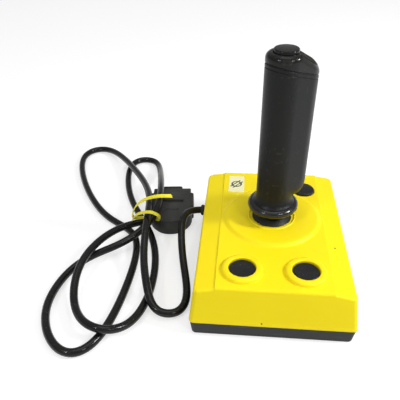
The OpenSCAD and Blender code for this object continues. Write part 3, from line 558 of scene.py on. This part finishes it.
def station_ring(z_of, inset=0.0):
    """The shell's plan at a height that may vary along it, drawn in by inset."""
    stations = [("front", x) for x in edge_x] + corner_stations(1, -1, -90)
    stations += [("side", 1, y) for y in side_y] + corner_stations(1, 1, 0)
    stations += [("rear", x) for x in reversed(edge_x)] + corner_stations(-1, 1, 90)
    stations += [("side", -1, y) for y in reversed(side_y)] + corner_stations(-1, -1, 180)
    ring = []
    for kind, *where in stations:
        z = z_of(0.0)
        for _ in range(3):
            up = (z - seam_z) / (shoulder_z - seam_z)
            w = half_w + (shoulder_half - half_w) * up - inset
            f = front + front_lean * up + inset
            b = rear - rear_lean * up - inset
            r = corner_r - inset * 0.5
            if kind == "front":
                x, y = where[0], f
            elif kind == "rear":
                x, y = where[0], b
            elif kind == "side":
                x, y = where[0] * w, where[1]
            else:
                turn = math.radians(where[2])
                x = where[0] * (w - r) + r * math.cos(turn)
                y = (f + r if where[1] < 0 else b - r) + r * math.sin(turn)
            z = z_of(x)
        ring.append((x, y, z))
    return ring


def rim_top(x):
    """Height of the top's outer edge."""
    return panel_height(max(-shoulder_half, min(shoulder_half, x)))


bm = bmesh.new()
# The wall from its lower rim up: height above the seam, and inset
wall_steps = [(0.0, rim_round), (0.1, rim_round * 0.3), (rim_round, 0.0), (skirting_h, 0.0),
              (skirting_h + 0.1, skirting_step), (skirting_h + 0.7, skirting_step)]
levels = [station_ring(lambda x, up=up: seam_z + up, inset) for up, inset in wall_steps]
levels.append(station_ring(lambda x: rim_top(x) - edge_r - 0.6, skirting_step))
for k in range(8):
    turn = math.radians(90 * k / 7)
    levels.append(station_ring(
        lambda x, turn=turn: rim_top(x) - edge_r * (1 - math.sin(turn)),
        skirting_step + edge_r * (1 - math.cos(turn))))
rim = loft(bm, levels)[-1]
crater_radii = [hole_r, hole_r + 0.04, hole_r + 0.1, hole_r + hole_round, hole_r + hole_round + 0.08]
crater_radii += [hole_r + hole_round + 1.4 * k for k in range(1, 12)]
crater_radii += [crater_crest - 0.6 + (crater_foot - crater_crest + 0.6) * k / 9 for k in range(10)]
loops = [circle(r, hole_sides, 0.0, stick_y) for r in crater_radii]
ring_radii = [button_hole + lip_round * (1 - math.cos(math.pi / 2 * k / 5)) for k in range(6)]
ring_radii += [ring_top + (ring_foot - ring_top) * math.sin(math.pi / 2 * k / 12) for k in range(13)]
ring_radii += [ring_foot - 0.5, ring_foot - 0.25]
for side in (-1, 1):
    loops += [circle(r, ring_sides, side * button_x, button_y) for r in sorted(ring_radii)]
loops += [circle(button_hole + r, ring_sides, *rear_button) for r in (0.0, 0.06, 0.2, rear_round)]
rim_y = [v.co.y for v in rim]
lines = [[(x, min(rim_y) + 0.4 + (max(rim_y) - min(rim_y) - 0.8) * k / 24) for k in range(25)]
         for x in crease_x]
holes = [(0.0, stick_y, hole_r), (-button_x, button_y, button_hole), (button_x, button_y, button_hole),
         (*rear_button, button_hole)]
cover(bm, rim, shell_height, loops, lines, holes)
ball_seat = [(math.sqrt(seat_r ** 2 - (z - pivot_z) ** 2), z) for z in (panel_z, panel_z - 1, lip_z)]
skirt(bm, 0.0, stick_y, hole_r, ball_seat)
for x, y, r in holes[1:]:
    skirt(bm, x, y, r, [(r, lip_z), (r, sleeve_z)])
for x in (-post_x, post_x):
    for y in (-post_y, post_y):
        post(bm, x, y)
yellow_plastic = moulded("yellow_plastic", (0.96, 0.775, 0.008), (0.95, 0.75, 0.007), (0.97, 0.88, 0.06),
                         rough=0.42, grain=2600.0, depth=0.000012, dust=0.08, scratches=0.12,
                         wear=0.25, specular=0.2)


def speck(material, place, radius):
    """A small pit with dirt in it, at a place in millimetres."""
    tree = material.node_tree
    skin = tree.nodes["Principled BSDF"].inputs["Base Color"]
    clean = skin.links[0].from_socket
    away = add(tree, "ShaderNodeVectorMath", {0: object_place(tree), 1: 0.001 * Vector(place)},
               operation="DISTANCE").outputs["Value"]
    pit = remap(tree, away, 0.0005 * radius, 0.001 * radius, 1.0, 0.0)
    tree.links.new(blend(tree, pit, clean, (0.035, 0.03, 0.01)), skin)


def flat_faces(made):
    """Keeps broad faces flat in the shading beside their rounded edges."""
    made.modifiers.new("flat_faces", "WEIGHTED_NORMAL").keep_sharp = True


speck(yellow_plastic, (39.4, -19.9, 33.4), 0.75)
speck(yellow_plastic, (-6.3, -68.5, 13.2), 0.7)
shell = piece("upper_shell_moulding", bm, yellow_plastic, "base", "upper_shell")
thick = shell.modifiers.new("wall", "SOLIDIFY")
thick.thickness = wall / 1000
thick.offset = -1
flat_faces(shell)


# Push buttons and their springs
# Dark caps with long stems that run in the shell's sleeves and press the board's contact
# domes. The front pair is sunk in its rings, the rear one stands proud of the panel.

button_black = moulded("button_black", (0.011, 0.0115, 0.0115), (0.014, 0.0145, 0.014),
                       (0.05, 0.05, 0.048), rough=0.36, depth=0.00001, dust=0.2, scratches=0.4,
                       specular=0.3)
for button, spring, joint in (("left_fire_button", "left_button_spring", "left_fire_press"),
                              ("right_fire_button", "right_button_spring", "right_fire_press"),
                              ("rear_button", "rear_button_spring", "rear_press")):
    dress(button, button_black)
    coil_spring(spring, wire=0.45, turns=8, body="base")


# Label
# A small paper sticker at the left rear of the panel, with a plain printed ring and two
# strokes in dark ink, a little rubbed.

print_turn = 0.7
print_r, print_half = 3.4, 0.6
stroke_x, stroke_half, stroke_reach = 1.2, 0.5, 5.6


def printed_label(name):
    """Paper with a ring and two strokes in ink, which is a little thinner in places."""
    material, tree, shader = new_material(name)
    shader.inputs["Specular IOR Level"].default_value = 0.3
    low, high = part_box("label_sticker")
    place = object_place(tree)
    centred = add(tree, "ShaderNodeVectorMath", {0: place, 1: (low + high) / 2}, operation="SUBTRACT")
    flat = add(tree, "ShaderNodeVectorMath", {0: centred.outputs[0], 1: (1000.0, 1000.0, 0.0)},
               operation="MULTIPLY")
    turned = add(tree, "ShaderNodeMapping", {"Vector": flat.outputs[0],
                                             "Rotation": (0, 0, print_turn)}).outputs[0]
    away = add(tree, "ShaderNodeVectorMath", {0: turned}, operation="LENGTH").outputs["Value"]
    axes = add(tree, "ShaderNodeSeparateXYZ", {0: turned}).outputs
    strokes = calc(tree, "COMPARE", away, print_r, print_half)
    for offset in (-stroke_x, stroke_x):
        near = calc(tree, "COMPARE", axes["X"], offset, stroke_half)
        inside = calc(tree, "COMPARE", axes["Y"], 0.0, stroke_reach)
        strokes = calc(tree, "MAXIMUM", strokes, calc(tree, "MULTIPLY", near, inside))
    fibres = noise(tree, place, 700.0, 6.0)
    paper = blend(tree, fibres, (0.92, 0.90, 0.55), (0.88, 0.85, 0.50))
    ink = calc(tree, "MULTIPLY", strokes, remap(tree, fibres, 0.35, 0.5, 0.7))
    gloss = remap(tree, ink, 0.0, 1.0, 0.55, 0.38)
    surface(tree, shader, blend(tree, ink, paper, (0.045, 0.05, 0.045)), gloss, fibres, 0.2, 0.00002)
    return material


dress("label_sticker", printed_label("label_paper"))


# Grip body
# A pistol grip moulded in satin black: a round neck on the collar, a longer oval above it
# with a round heel, and two thin grooves under the cap's slanted seam.

grip_turn = math.radians(40)
grip_r = 11.5
grip_foot_r = 14.0
grip_offset = 11.2
grip_z = 49.7
foot_blend = 6.0
foot_curve = 2.6
foot_edge = 0.15
heel_z = 61.7
heel_join = 0.9
bore_rise = 2.0
cap_seam_z = 138.8
seam_slope = math.tan(math.radians(17.5))
grip_wall = 2.4
groove_w = 0.5
groove_deep = 0.4
groove_soft, groove_lip = 0.15, 0.12
band_h = 2.2
band_low = 4.0
grip_sides = 180


def grip_point(turn, radius, z):
    """A point at an angle from the grip's long axis, round the stick's axis."""
    return (radius * math.cos(turn + grip_turn), stick_y + radius * math.sin(turn + grip_turn), z)


def oval(turn, w):
    """Distance from the stick's axis to an oval of half width w that reaches to the heel."""
    c, s = math.cos(turn), abs(math.sin(turn))
    if c <= 0:
        return w
    if s > 0 and w * c / s <= grip_offset:
        return w / s
    return grip_offset * c + math.sqrt(max(0.0, w * w - (grip_offset * s) ** 2))


def seam_at(turn, radius):
    """Height of the cap's seam above a point of the outline."""
    return cap_seam_z - seam_slope * radius * math.cos(turn)


def grip_ring(radius_of, z_of):
    """A ring round the grip from a radius and a height at each angle."""
    turns = [2 * math.pi * k / grip_sides for k in range(grip_sides)]
    return [grip_point(t, radius_of(t), z_of(t, radius_of(t))) for t in turns]


def neck_radius(z):
    """Radius of the flared foot, which curves in to the grip's half width."""
    share = min(1.0, max(0.0, (z - grip_z) / foot_blend))
    return grip_r + (grip_foot_r - grip_r) * (1 - share) ** foot_curve


def heel_ring(turn_down):
    """A level of the round heel, turn_down degrees below its widest level."""
    z = heel_z - grip_r * math.sin(math.radians(turn_down))
    w = grip_r * math.cos(math.radians(turn_down))
    neck = neck_radius(z)
    soft_join = heel_join * min(1.0, (neck - w) / 2)

    def radius(turn):
        reach = oval(turn, w)
        near = max(0.0, soft_join - abs(neck - reach))
        return max(neck, reach) + (near * near / (4 * soft_join) if soft_join > 0 else 0.0)

    return grip_ring(radius, lambda t, r: z)


def inner_grip(inset):
    """The grip's oval drawn in by an inset, as a radius at each angle."""
    return lambda t: oval(t, grip_r - inset)


bm = bmesh.new()
rings = [grip_ring(lambda t: grip_foot_r - foot_edge, lambda t, r: grip_z)]
heel_levels = (86, 83, 80, 77, 74, 70, 66, 62, 58, 54, 50, 45, 40, 34, 28, 22, 16, 10, 5, 0)
rings += [heel_ring(down) for down in heel_levels]
for share in (0.02, 0.25, 0.5, 0.75):
    rings.append(grip_ring(inner_grip(0.0), lambda t, r, share=share:
                           heel_z + share * (seam_at(t, r) - band_low - heel_z)))
# Two grooves under the seam: inset, and height from the seam
groove_steps = [(0.0, -band_low), (0.0, -band_h - groove_w - groove_soft),
                (groove_lip, -band_h - groove_w), (groove_deep, -band_h - groove_w),
                (groove_deep, -band_h), (groove_lip, -band_h), (0.0, -band_h + groove_soft),
                (0.0, -groove_w - groove_soft), (groove_lip, -groove_w),
                (groove_deep, -groove_w), (groove_deep, 0.0), (grip_wall, 0.0)]
for inset, drop in groove_steps:
    rings.append(grip_ring(inner_grip(inset), lambda t, r, drop=drop: seam_at(t, r) + drop))
rings.append(grip_ring(inner_grip(grip_wall), lambda t, r: heel_z + bore_rise))
closed_loft(bm, rings)
satin_black = moulded("satin_black", (0.0080, 0.0085, 0.0088), (0.0100, 0.0105, 0.0106),
                      (0.045, 0.045, 0.043), rough=0.36, grain=2200.0, depth=0.00001, dust=0.2,
                      scratches=0.3, specular=0.18, wear=0.2)
grip = piece("grip_moulding", bm, satin_black, "stick", "grip_body")
flat_faces(grip)


# Grip cap, thumb switch and thumb button
# A separate cap snapped on along the slanted seam, flat round the button and falling
# away behind it. Under it a small board carries the switch and the button's spring.

cap_top_z = 147.6
cap_flat = 7.0
cap_spread = math.radians(35)
cap_fall = math.tan(math.radians(36))
cap_ridge_r = 1.5
knee = 0.8
cap_edge_r = 3.5
cap_gap = 0.05
cap_foot_r = 0.3
thumb_hole = 7.52
thumb_round = 0.4
thumb_sides = 96
line_margin = 0.5
facing_up = 0.6


def past_flat(x, y):
    """Distance behind the cap's flat, whose end is drawn back on both sides of the grip's axis."""
    along = x * math.cos(grip_turn) + (y - stick_y) * math.sin(grip_turn)
    across = (y - stick_y) * math.cos(grip_turn) - x * math.sin(grip_turn)
    return (along * math.cos(cap_spread) + math.hypot(across, cap_ridge_r) * math.sin(cap_spread)
            - cap_flat)


def cap_height(x, y):
    """The cap's top: flat, then a rounded knee, then a straight fall."""
    past = past_flat(x, y)
    if past <= -knee:
        return cap_top_z
    if past >= knee:
        return cap_top_z - cap_fall * past
    return cap_top_z - cap_fall * (past + knee) ** 2 / (4 * knee)


def cap_ring(turn_in):
    """A level of the rounded top edge, turn_in radians over."""
    inset = cap_edge_r * (1 - math.cos(turn_in))
    ring = []
    for x, y, _ in grip_ring(inner_grip(inset), lambda t, r: 0.0):
        ring.append((x, y, cap_height(x, y) - cap_edge_r * (1 - math.sin(turn_in))))
    return ring


bm = bmesh.new()
rings = [grip_ring(inner_grip(inset), lambda t, r, up=up: seam_at(t, r) + up)
         for inset, up in ((grip_wall, cap_gap), (cap_foot_r, cap_gap), (0.0, cap_gap + cap_foot_r))]
rings += [cap_ring(math.radians(90 * k / 8)) for k in range(9)]
rim = loft(bm, rings)[-1]
loops = [circle(thumb_hole + r, thumb_sides, 0.0, stick_y) for r in (0.0, 0.05, 0.2, thumb_round)]


def on_cap(point):
    """Whether a point lies on the cap's top, clear of its edge and of the button's hole."""
    away = math.hypot(point[0], point[1] - stick_y)
    turn = math.atan2(point[1] - stick_y, point[0]) - grip_turn
    return thumb_hole + line_margin < away < oval(turn, grip_r - cap_edge_r) - line_margin


def level_line(past):
    """Points of the cap's top at one distance behind its flat."""
    line = []
    for across in range(-14, 15):
        ridge = math.hypot(across, cap_ridge_r) * math.sin(cap_spread)
        along = (past + cap_flat - ridge) / math.cos(cap_spread)
        line.append((along * math.cos(grip_turn) - across * math.sin(grip_turn),
                     stick_y + along * math.sin(grip_turn) + across * math.cos(grip_turn)))
    return line


lines = []
for past in (-knee, -knee / 2, 0.0, knee / 2, knee, 2.5, 4.5, 6.5):
    line = level_line(past)
    lines += [pair for pair in zip(line, line[1:]) if on_cap(pair[0]) and on_cap(pair[1])]
cover(bm, rim, lambda x, y: cap_height(x, y)
      - hole_edge(math.hypot(x, y - stick_y) - thumb_hole, thumb_round), loops, lines,
      [(0.0, stick_y, thumb_hole)])
skirt(bm, 0.0, stick_y, thumb_hole, [(thumb_hole, cap_top_z - drop) for drop in (1.6, 2.4)])
cap_black = moulded("cap_black", (0.0085, 0.0086, 0.0082), (0.0110, 0.0110, 0.0102),
                    (0.05, 0.048, 0.045), rough=0.18, grain=1800.0, depth=0.000006, dust=0.2,
                    scratches=0.3, specular=0.22)
# A rough copy of the cap's black in a lighter warm brown, for the upward faces of its fall: the brown is
# a painted warm reflection.
cap_fall_painted_reflection = moulded("cap_fall_painted_reflection", (0.0125, 0.0115, 0.0095), (0.0150, 0.0135, 0.0105), (0.05, 0.046, 0.038),
                   rough=0.5, grain=1800.0, depth=0.00001, dust=0.3, scratches=0.4, specular=0.02)
# Upward faces behind the flat take the lighter warm brown of the painted reflection.
for face in bm.faces:
    middle = face.calc_center_median()
    face.material_index = 1 if face.normal.z > facing_up and past_flat(middle.x, middle.y) > 0 else 0
cap = piece("grip_cap_moulding", bm, cap_black, "stick", "grip_cap")
cap.data.materials.append(cap_fall_painted_reflection)
flat_faces(cap)
dress("thumb_board", board_laminate)
dress("thumb_switch", switch_plastic)
thumb_black = moulded("thumb_black", (0.0085, 0.0083, 0.0078), (0.0105, 0.0102, 0.0095),
                      (0.04, 0.038, 0.035), rough=0.2, grain=1800.0, depth=0.000008, dust=0.15,
                      scratches=0.4, specular=0.18)
dress("thumb_button", thumb_black)
coil_spring("thumb_spring", wire=0.4, turns=5, body="stick")


# Lead and bushing
# A soft vinyl lead held in the left wall by a rubber grommet. It runs over the plug,
# is folded into loops on the table and comes back to the plug's hood.

lead_d = 5.4
lead_start = Vector((-44.0, 43.0, 14.0))
lead_route = [lead_start, lead_start + Vector((-14.5, 0.5, 0.0))] + [Vector(p) for p in (
    (-66, 24, 22), (-61, -8, 5), (-53, -37, 3), (-56, -56, 3), (-74, -58, 4.5),
    (-81, -39, 11), (-88, -13, 13), (-89, 14, 25), (-92.5, 58, 19),
    (-118, 108, 10.5), (-143, 147, 5), (-163, 158, 3), (-180, 142, 3),
    (-162, 90, 3), (-128, 37, 3), (-95, 27, 3), (-95, -34, 3), (-103, -88, 3),
    (-126, -95, 3), (-150, -58, 3), (-139, -10, 3), (-110, 0, 9),
    (-95, 15, 11.5), (-82.5, 30, 20), (-87, 70, 19), (-96, 116, 4),
    (-102, 136, 3), (-121, 138, 3), (-128, 118, 3), (-115, 64, 3),
    (-83, 20, 3), (-77, -33, 3), (-85, -70, 3), (-105, -82, 13),
    (-128, -58, 3), (-133, -20, 14.5), (-114, 22, 12), (-88, 34, 8.5))]


def smooth_route(points, steps):
    """Points of the smooth curve that runs past the route's points."""
    held = [2 * points[0] - points[1], *points, 2 * points[-1] - points[-2]]
    path = []
    for i in range(len(points) - 1):
        a, b, c, d = held[i:i + 4]
        for k in range(steps):
            t = k / steps
            path.append(((1 - t) ** 3 * a + (3 * t ** 3 - 6 * t * t + 4) * b
                         + (-3 * t ** 3 + 3 * t * t + 3 * t + 1) * c + t ** 3 * d) / 6)
    return path + [points[-1]]


# Extruded vinyl with a dull skin and a few paler scuffs
lead_vinyl = moulded("lead_vinyl", (0.0075, 0.0078, 0.0075), (0.0105, 0.0105, 0.010),
                     (0.04, 0.04, 0.038), rough=0.20, grain=700.0, depth=0.000012, dust=0.2,
                     scratches=0.4, wear=0.0, specular=0.26)
lead_path = smooth_route(lead_route, 12)
lead_curve = bpy.data.curves.new("lead", "CURVE")
lead_curve.dimensions = "3D"
lead_curve.bevel_depth = lead_d / 2000
lead_curve.bevel_resolution = 6
lead_curve.use_fill_caps = True
spline = lead_curve.splines.new("POLY")
spline.points.add(len(lead_path) - 1)
for point, at in zip(spline.points, lead_path):
    point.co = (*(0.001 * at), 1.0)
spline.use_smooth = True
lead_curve.materials.append(lead_vinyl)
lead = new_object("lead", lead_curve)
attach(lead, "base")
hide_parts("lead_cord")
dress("lead_bushing", foot_rubber)


# Plug
# A nine-way plug: a moulded hood with sloped shoulders, a flange and a recessed panel,
# a plated D-shaped mouth, and brass contacts in a black insert.

plug_at = Vector((-74.6, 25.6, 0.0))
plug_turn = math.radians(4.8)
plug_half = 17.8
plug_l = 42.0
plug_h = 13.0
ear_l = 20.0
ear_out, ear_rise = 1.2, 1.0
nose_half, nose_y = 6.0, 2.0
shoulder_y = 12.0
front_half = 15.4
front_l = 6.5
front_inset, front_edge = 0.3, 0.7
hood_edge = 1.3
panel_deep = 0.7
slot_deep = 1.8
recess_wall, recess_middle = 0.3, 0.2


def rounded(corners, radii, steps=6):
    """An outline with each corner turned into an arc."""
    points = []
    for i, (corner, r) in enumerate(zip(corners, radii)):
        p = Vector(corner)
        a = (Vector(corners[i - 1]) - p).normalized()
        b = (Vector(corners[(i + 1) % len(corners)]) - p).normalized()
        half = a.angle(b) / 2
        centre = p + (a + b).normalized() * r / math.sin(half)
        start, end = p + a * r / math.tan(half) - centre, p + b * r / math.tan(half) - centre
        first = math.atan2(start.y, start.x)
        sweep_angle = math.atan2(start.x * end.y - start.y * end.x, start.dot(end))
        for k in range(steps + 1):
            turn = first + sweep_angle * k / steps
            points.append(centre + r * Vector((math.cos(turn), math.sin(turn))))
    return points


def drawn_in(outline, inset):
    """An outline moved inwards along its corners' normals."""
    moved = []
    for i, p in enumerate(outline):
        along = (outline[(i + 1) % len(outline)] - outline[i - 1]).normalized()
        moved.append(p + inset * Vector((-along.y, along.x)))
    return moved


def box_rings(outline, low, high, edge):
    """Rings of a block with rounded top and bottom edges, from the bottom up."""
    turns = [math.radians(90 * k / 4) for k in range(5)]
    rings = []
    for turn, z, way in [(t, low, 1) for t in reversed(turns)] + [(t, high, -1) for t in turns]:
        rings.append([(*p, z + way * edge * (1 - math.sin(turn)))
                      for p in drawn_in(outline, edge * (1 - math.cos(turn)))])
    return rings


def box_plan(half, near, far, near_r, far_r):
    """The outline of a block with rounded corners."""
    return rounded([(-half, near), (half, near), (half, far), (-half, far)],
                   [near_r, near_r, far_r, far_r])


waist = plug_half - ear_out
ear_y = plug_l - ear_l
hood_plan = rounded([(-nose_half, nose_y), (nose_half, nose_y), (waist, shoulder_y), (waist, ear_y),
                     (plug_half, ear_y + ear_rise), (plug_half, plug_l), (-plug_half, plug_l),
                     (-plug_half, ear_y + ear_rise), (-waist, ear_y), (-waist, shoulder_y)],
                    [12, 12, 18, 0.4, 1.5, 1.5, 1.5, 1.5, 0.4, 18])
front_plan = box_plan(front_half, near=plug_l - 2, far=plug_l + front_l, near_r=1, far_r=0.8)
panel_plan = box_plan(6.4, near=10, far=19, near_r=1, far_r=1)
slot_plan = box_plan(9.6, near=27, far=31.6, near_r=0.6, far_r=0.6)


def in_outline(outline, x, y):
    """Whether a point lies inside an outline."""
    inside = False
    for i, p in enumerate(outline):
        q = outline[i - 1]
        if (p.y > y) != (q.y > y) and x < (q.x - p.x) * (y - p.y) / (q.y - p.y) + p.x:
            inside = not inside
    return inside


bm = bmesh.new()
made = loft(bm, box_rings(hood_plan, 0.0, plug_h, hood_edge))
bm.faces.new(made[0])


def hood_top(x, y):
    """The hood's top with its sunk panel and slot."""
    if in_outline(drawn_in(slot_plan, recess_middle), x, y):
        return plug_h - slot_deep
    return plug_h - (panel_deep if in_outline(drawn_in(panel_plan, recess_middle), x, y) else 0.0)


cover(bm, made[-1], hood_top,
      [panel_plan, drawn_in(panel_plan, recess_wall), slot_plan, drawn_in(slot_plan, recess_wall)])
closed_loft(bm, box_rings(front_plan, front_inset, plug_h - front_inset, front_edge))
bmesh.ops.transform(bm, matrix=Matrix.Translation(plug_at) @ Matrix.Rotation(plug_turn, 4, "Z"),
                    verts=bm.verts)
hood_black = moulded("hood_black", (0.035, 0.0355, 0.033), (0.042, 0.042, 0.039), (0.09, 0.09, 0.084),
                     rough=0.48, grain=2800.0, depth=0.00004, dust=0.35, specular=0.25)
hood = piece("plug_hood_moulding", bm, hood_black, "base", "plug_hood")
flat_faces(hood)
plug_plate = metal("plug_plate", (0.075, 0.075, 0.072), (0.055, 0.054, 0.050), 0.34)
dress("plug_shell", plug_plate)
dress("plug_insert", hood_black)
dress("plug_contacts", contact_brass)


# Twist tie
# A flat yellow plastic strip with a wire core, wound once round the bundled lead, with
# one long loose tail at its right.

tie_route = [Vector(p) for p in (
    (-77, 57, 16.5), (-84, 46.5, 23.5), (-92, 38.5, 27), (-99.5, 31.5, 26),
    (-103, 27.5, 20), (-103, 28, 14.5), (-99, 31, 12.6), (-92, 32.5, 13.2),
    (-85, 29.5, 13.7), (-80.8, 24, 17.5), (-80.2, 19.6, 24), (-86, 18.5, 28.8),
    (-93.5, 19.8, 26.4), (-100, 24.5, 20.5), (-103.5, 27.7, 12.5))]
tie_half = 1.8
tie_path = smooth_route(tie_route, 14)
# Flat wings with a round wire core between them
tie_upper = [(tie_half, 0.0), (tie_half - 0.1, 0.18), (0.75, 0.2), (0.45, 0.42), (0.0, 0.52),
             (-0.45, 0.42), (-0.75, 0.2), (-tie_half + 0.1, 0.18)]
bm = bmesh.new()
sweep(bm, tie_path, Vector((0, 1, 0)), tie_upper + [(-a, -b) for a, b in tie_upper])
tie_yellow = moulded("tie_yellow", (0.92, 0.84, 0.03), (0.88, 0.79, 0.025), (0.95, 0.91, 0.2),
                     rough=0.35, grain=900.0, depth=0.00003, dust=0.1, scratches=0.4, specular=0.4)
tie = piece("twist_tie_strip", bm, tie_yellow, "base", "twist_tie")


# Studio
# A pale floor, soft lamps above and at the right, two small lamps in front, and the
# camera where the photograph was taken from.

floor_half = 25.0
floor_grey = 0.50
floor_glow = 0.60
bm = bmesh.new()
bmesh.ops.create_grid(bm, x_segments=8, y_segments=8, size=floor_half)
floor_mesh = bpy.data.meshes.new("floor")
bm.to_mesh(floor_mesh)
bm.free()
floor = new_object("floor", floor_mesh)
paper = bpy.data.materials.new("floor_paper")
paper.use_nodes = True
tree = paper.node_tree
tree.nodes.clear()
rays = add(tree, "ShaderNodeLightPath").outputs
seen = calc(tree, "MAXIMUM", rays["Is Camera Ray"], rays["Is Glossy Ray"])
seen = calc(tree, "MAXIMUM", seen, rays["Is Transmission Ray"])
glow = calc(tree, "MULTIPLY", seen, floor_glow)
lit = add(tree, "ShaderNodeBsdfDiffuse", {"Color": (floor_grey, floor_grey, floor_grey, 1.0)})
shine = add(tree, "ShaderNodeEmission", {"Color": (1, 1, 1, 1), "Strength": glow})
both = add(tree, "ShaderNodeAddShader", {0: lit.outputs[0], 1: shine.outputs[0]})
add(tree, "ShaderNodeOutputMaterial", {"Surface": both.outputs[0]})
floor_mesh.materials.append(paper)

world = bpy.data.worlds.new("studio")
bpy.context.scene.world = world
world.use_nodes = True
tree = world.node_tree
sky = add(tree, "ShaderNodeSeparateXYZ", {0: add(tree, "ShaderNodeTexCoord").outputs["Generated"]})
backdrop = add(tree, "ShaderNodeValToRGB", {"Fac": sky.outputs["Z"]})
backdrop.color_ramp.elements[0].color = (0.88, 0.88, 0.88, 1.0)
backdrop.color_ramp.elements[1].color = (0.50, 0.50, 0.50, 1.0)
for height, level in ((0.10, 0.75), (0.24, 0.26)):
    stop = backdrop.color_ramp.elements.new(height)
    stop.color = (level, level, level, 1.0)
tree.links.new(backdrop.outputs["Color"], tree.nodes["Background"].inputs["Color"])


def softbox(name, at, aim, size, power):
    """A square area lamp that faces a point."""
    lamp = bpy.data.lights.new(name, "AREA")
    lamp.size = size
    lamp.energy = power
    stand = new_object(name, lamp)
    stand.location = at
    stand.rotation_euler = (Vector(aim) - Vector(at)).to_track_quat("-Z", "Y").to_euler()


softbox("above", (0.10, 0.20, 2.40), (0, 0, 0.04), size=1.50, power=10.0)
softbox("key", (0.60, -0.07, 0.52), (0, 0, 0.04), size=0.14, power=3.9)
softbox("front_left", (-0.50, -0.52, 0.66), (0, 0, 0.05), size=0.10, power=1.7)
softbox("front_right", (0.47, -0.54, 0.66), (0, 0, 0.05), size=0.12, power=1.4)

eye = Vector((-0.02181, -0.26061, 0.23421))
yaw, pitch, roll = -0.114272, 0.658935, -0.0286065
ahead = Vector((math.sin(yaw) * math.cos(pitch), math.cos(yaw) * math.cos(pitch), -math.sin(pitch)))
across = Vector((math.cos(yaw), -math.sin(yaw), 0.0))
above = across.cross(ahead)
tilted_across = across * math.cos(roll) + above * math.sin(roll)
tilted_above = above * math.cos(roll) - across * math.sin(roll)
lens = bpy.data.cameras.new("photo_camera")
lens.sensor_width = 36.0
lens.lens = 43.354
lens.shift_x = 0.01103
lens.shift_y = 0.06557
camera = new_object("photo_camera", lens)
turned = Matrix((tilted_across, tilted_above, -ahead)).transposed().to_4x4()
camera.matrix_world = Matrix.Translation(eye) @ turned
bpy.context.scene.camera = camera
bpy.context.scene.view_settings.view_transform = "Standard"
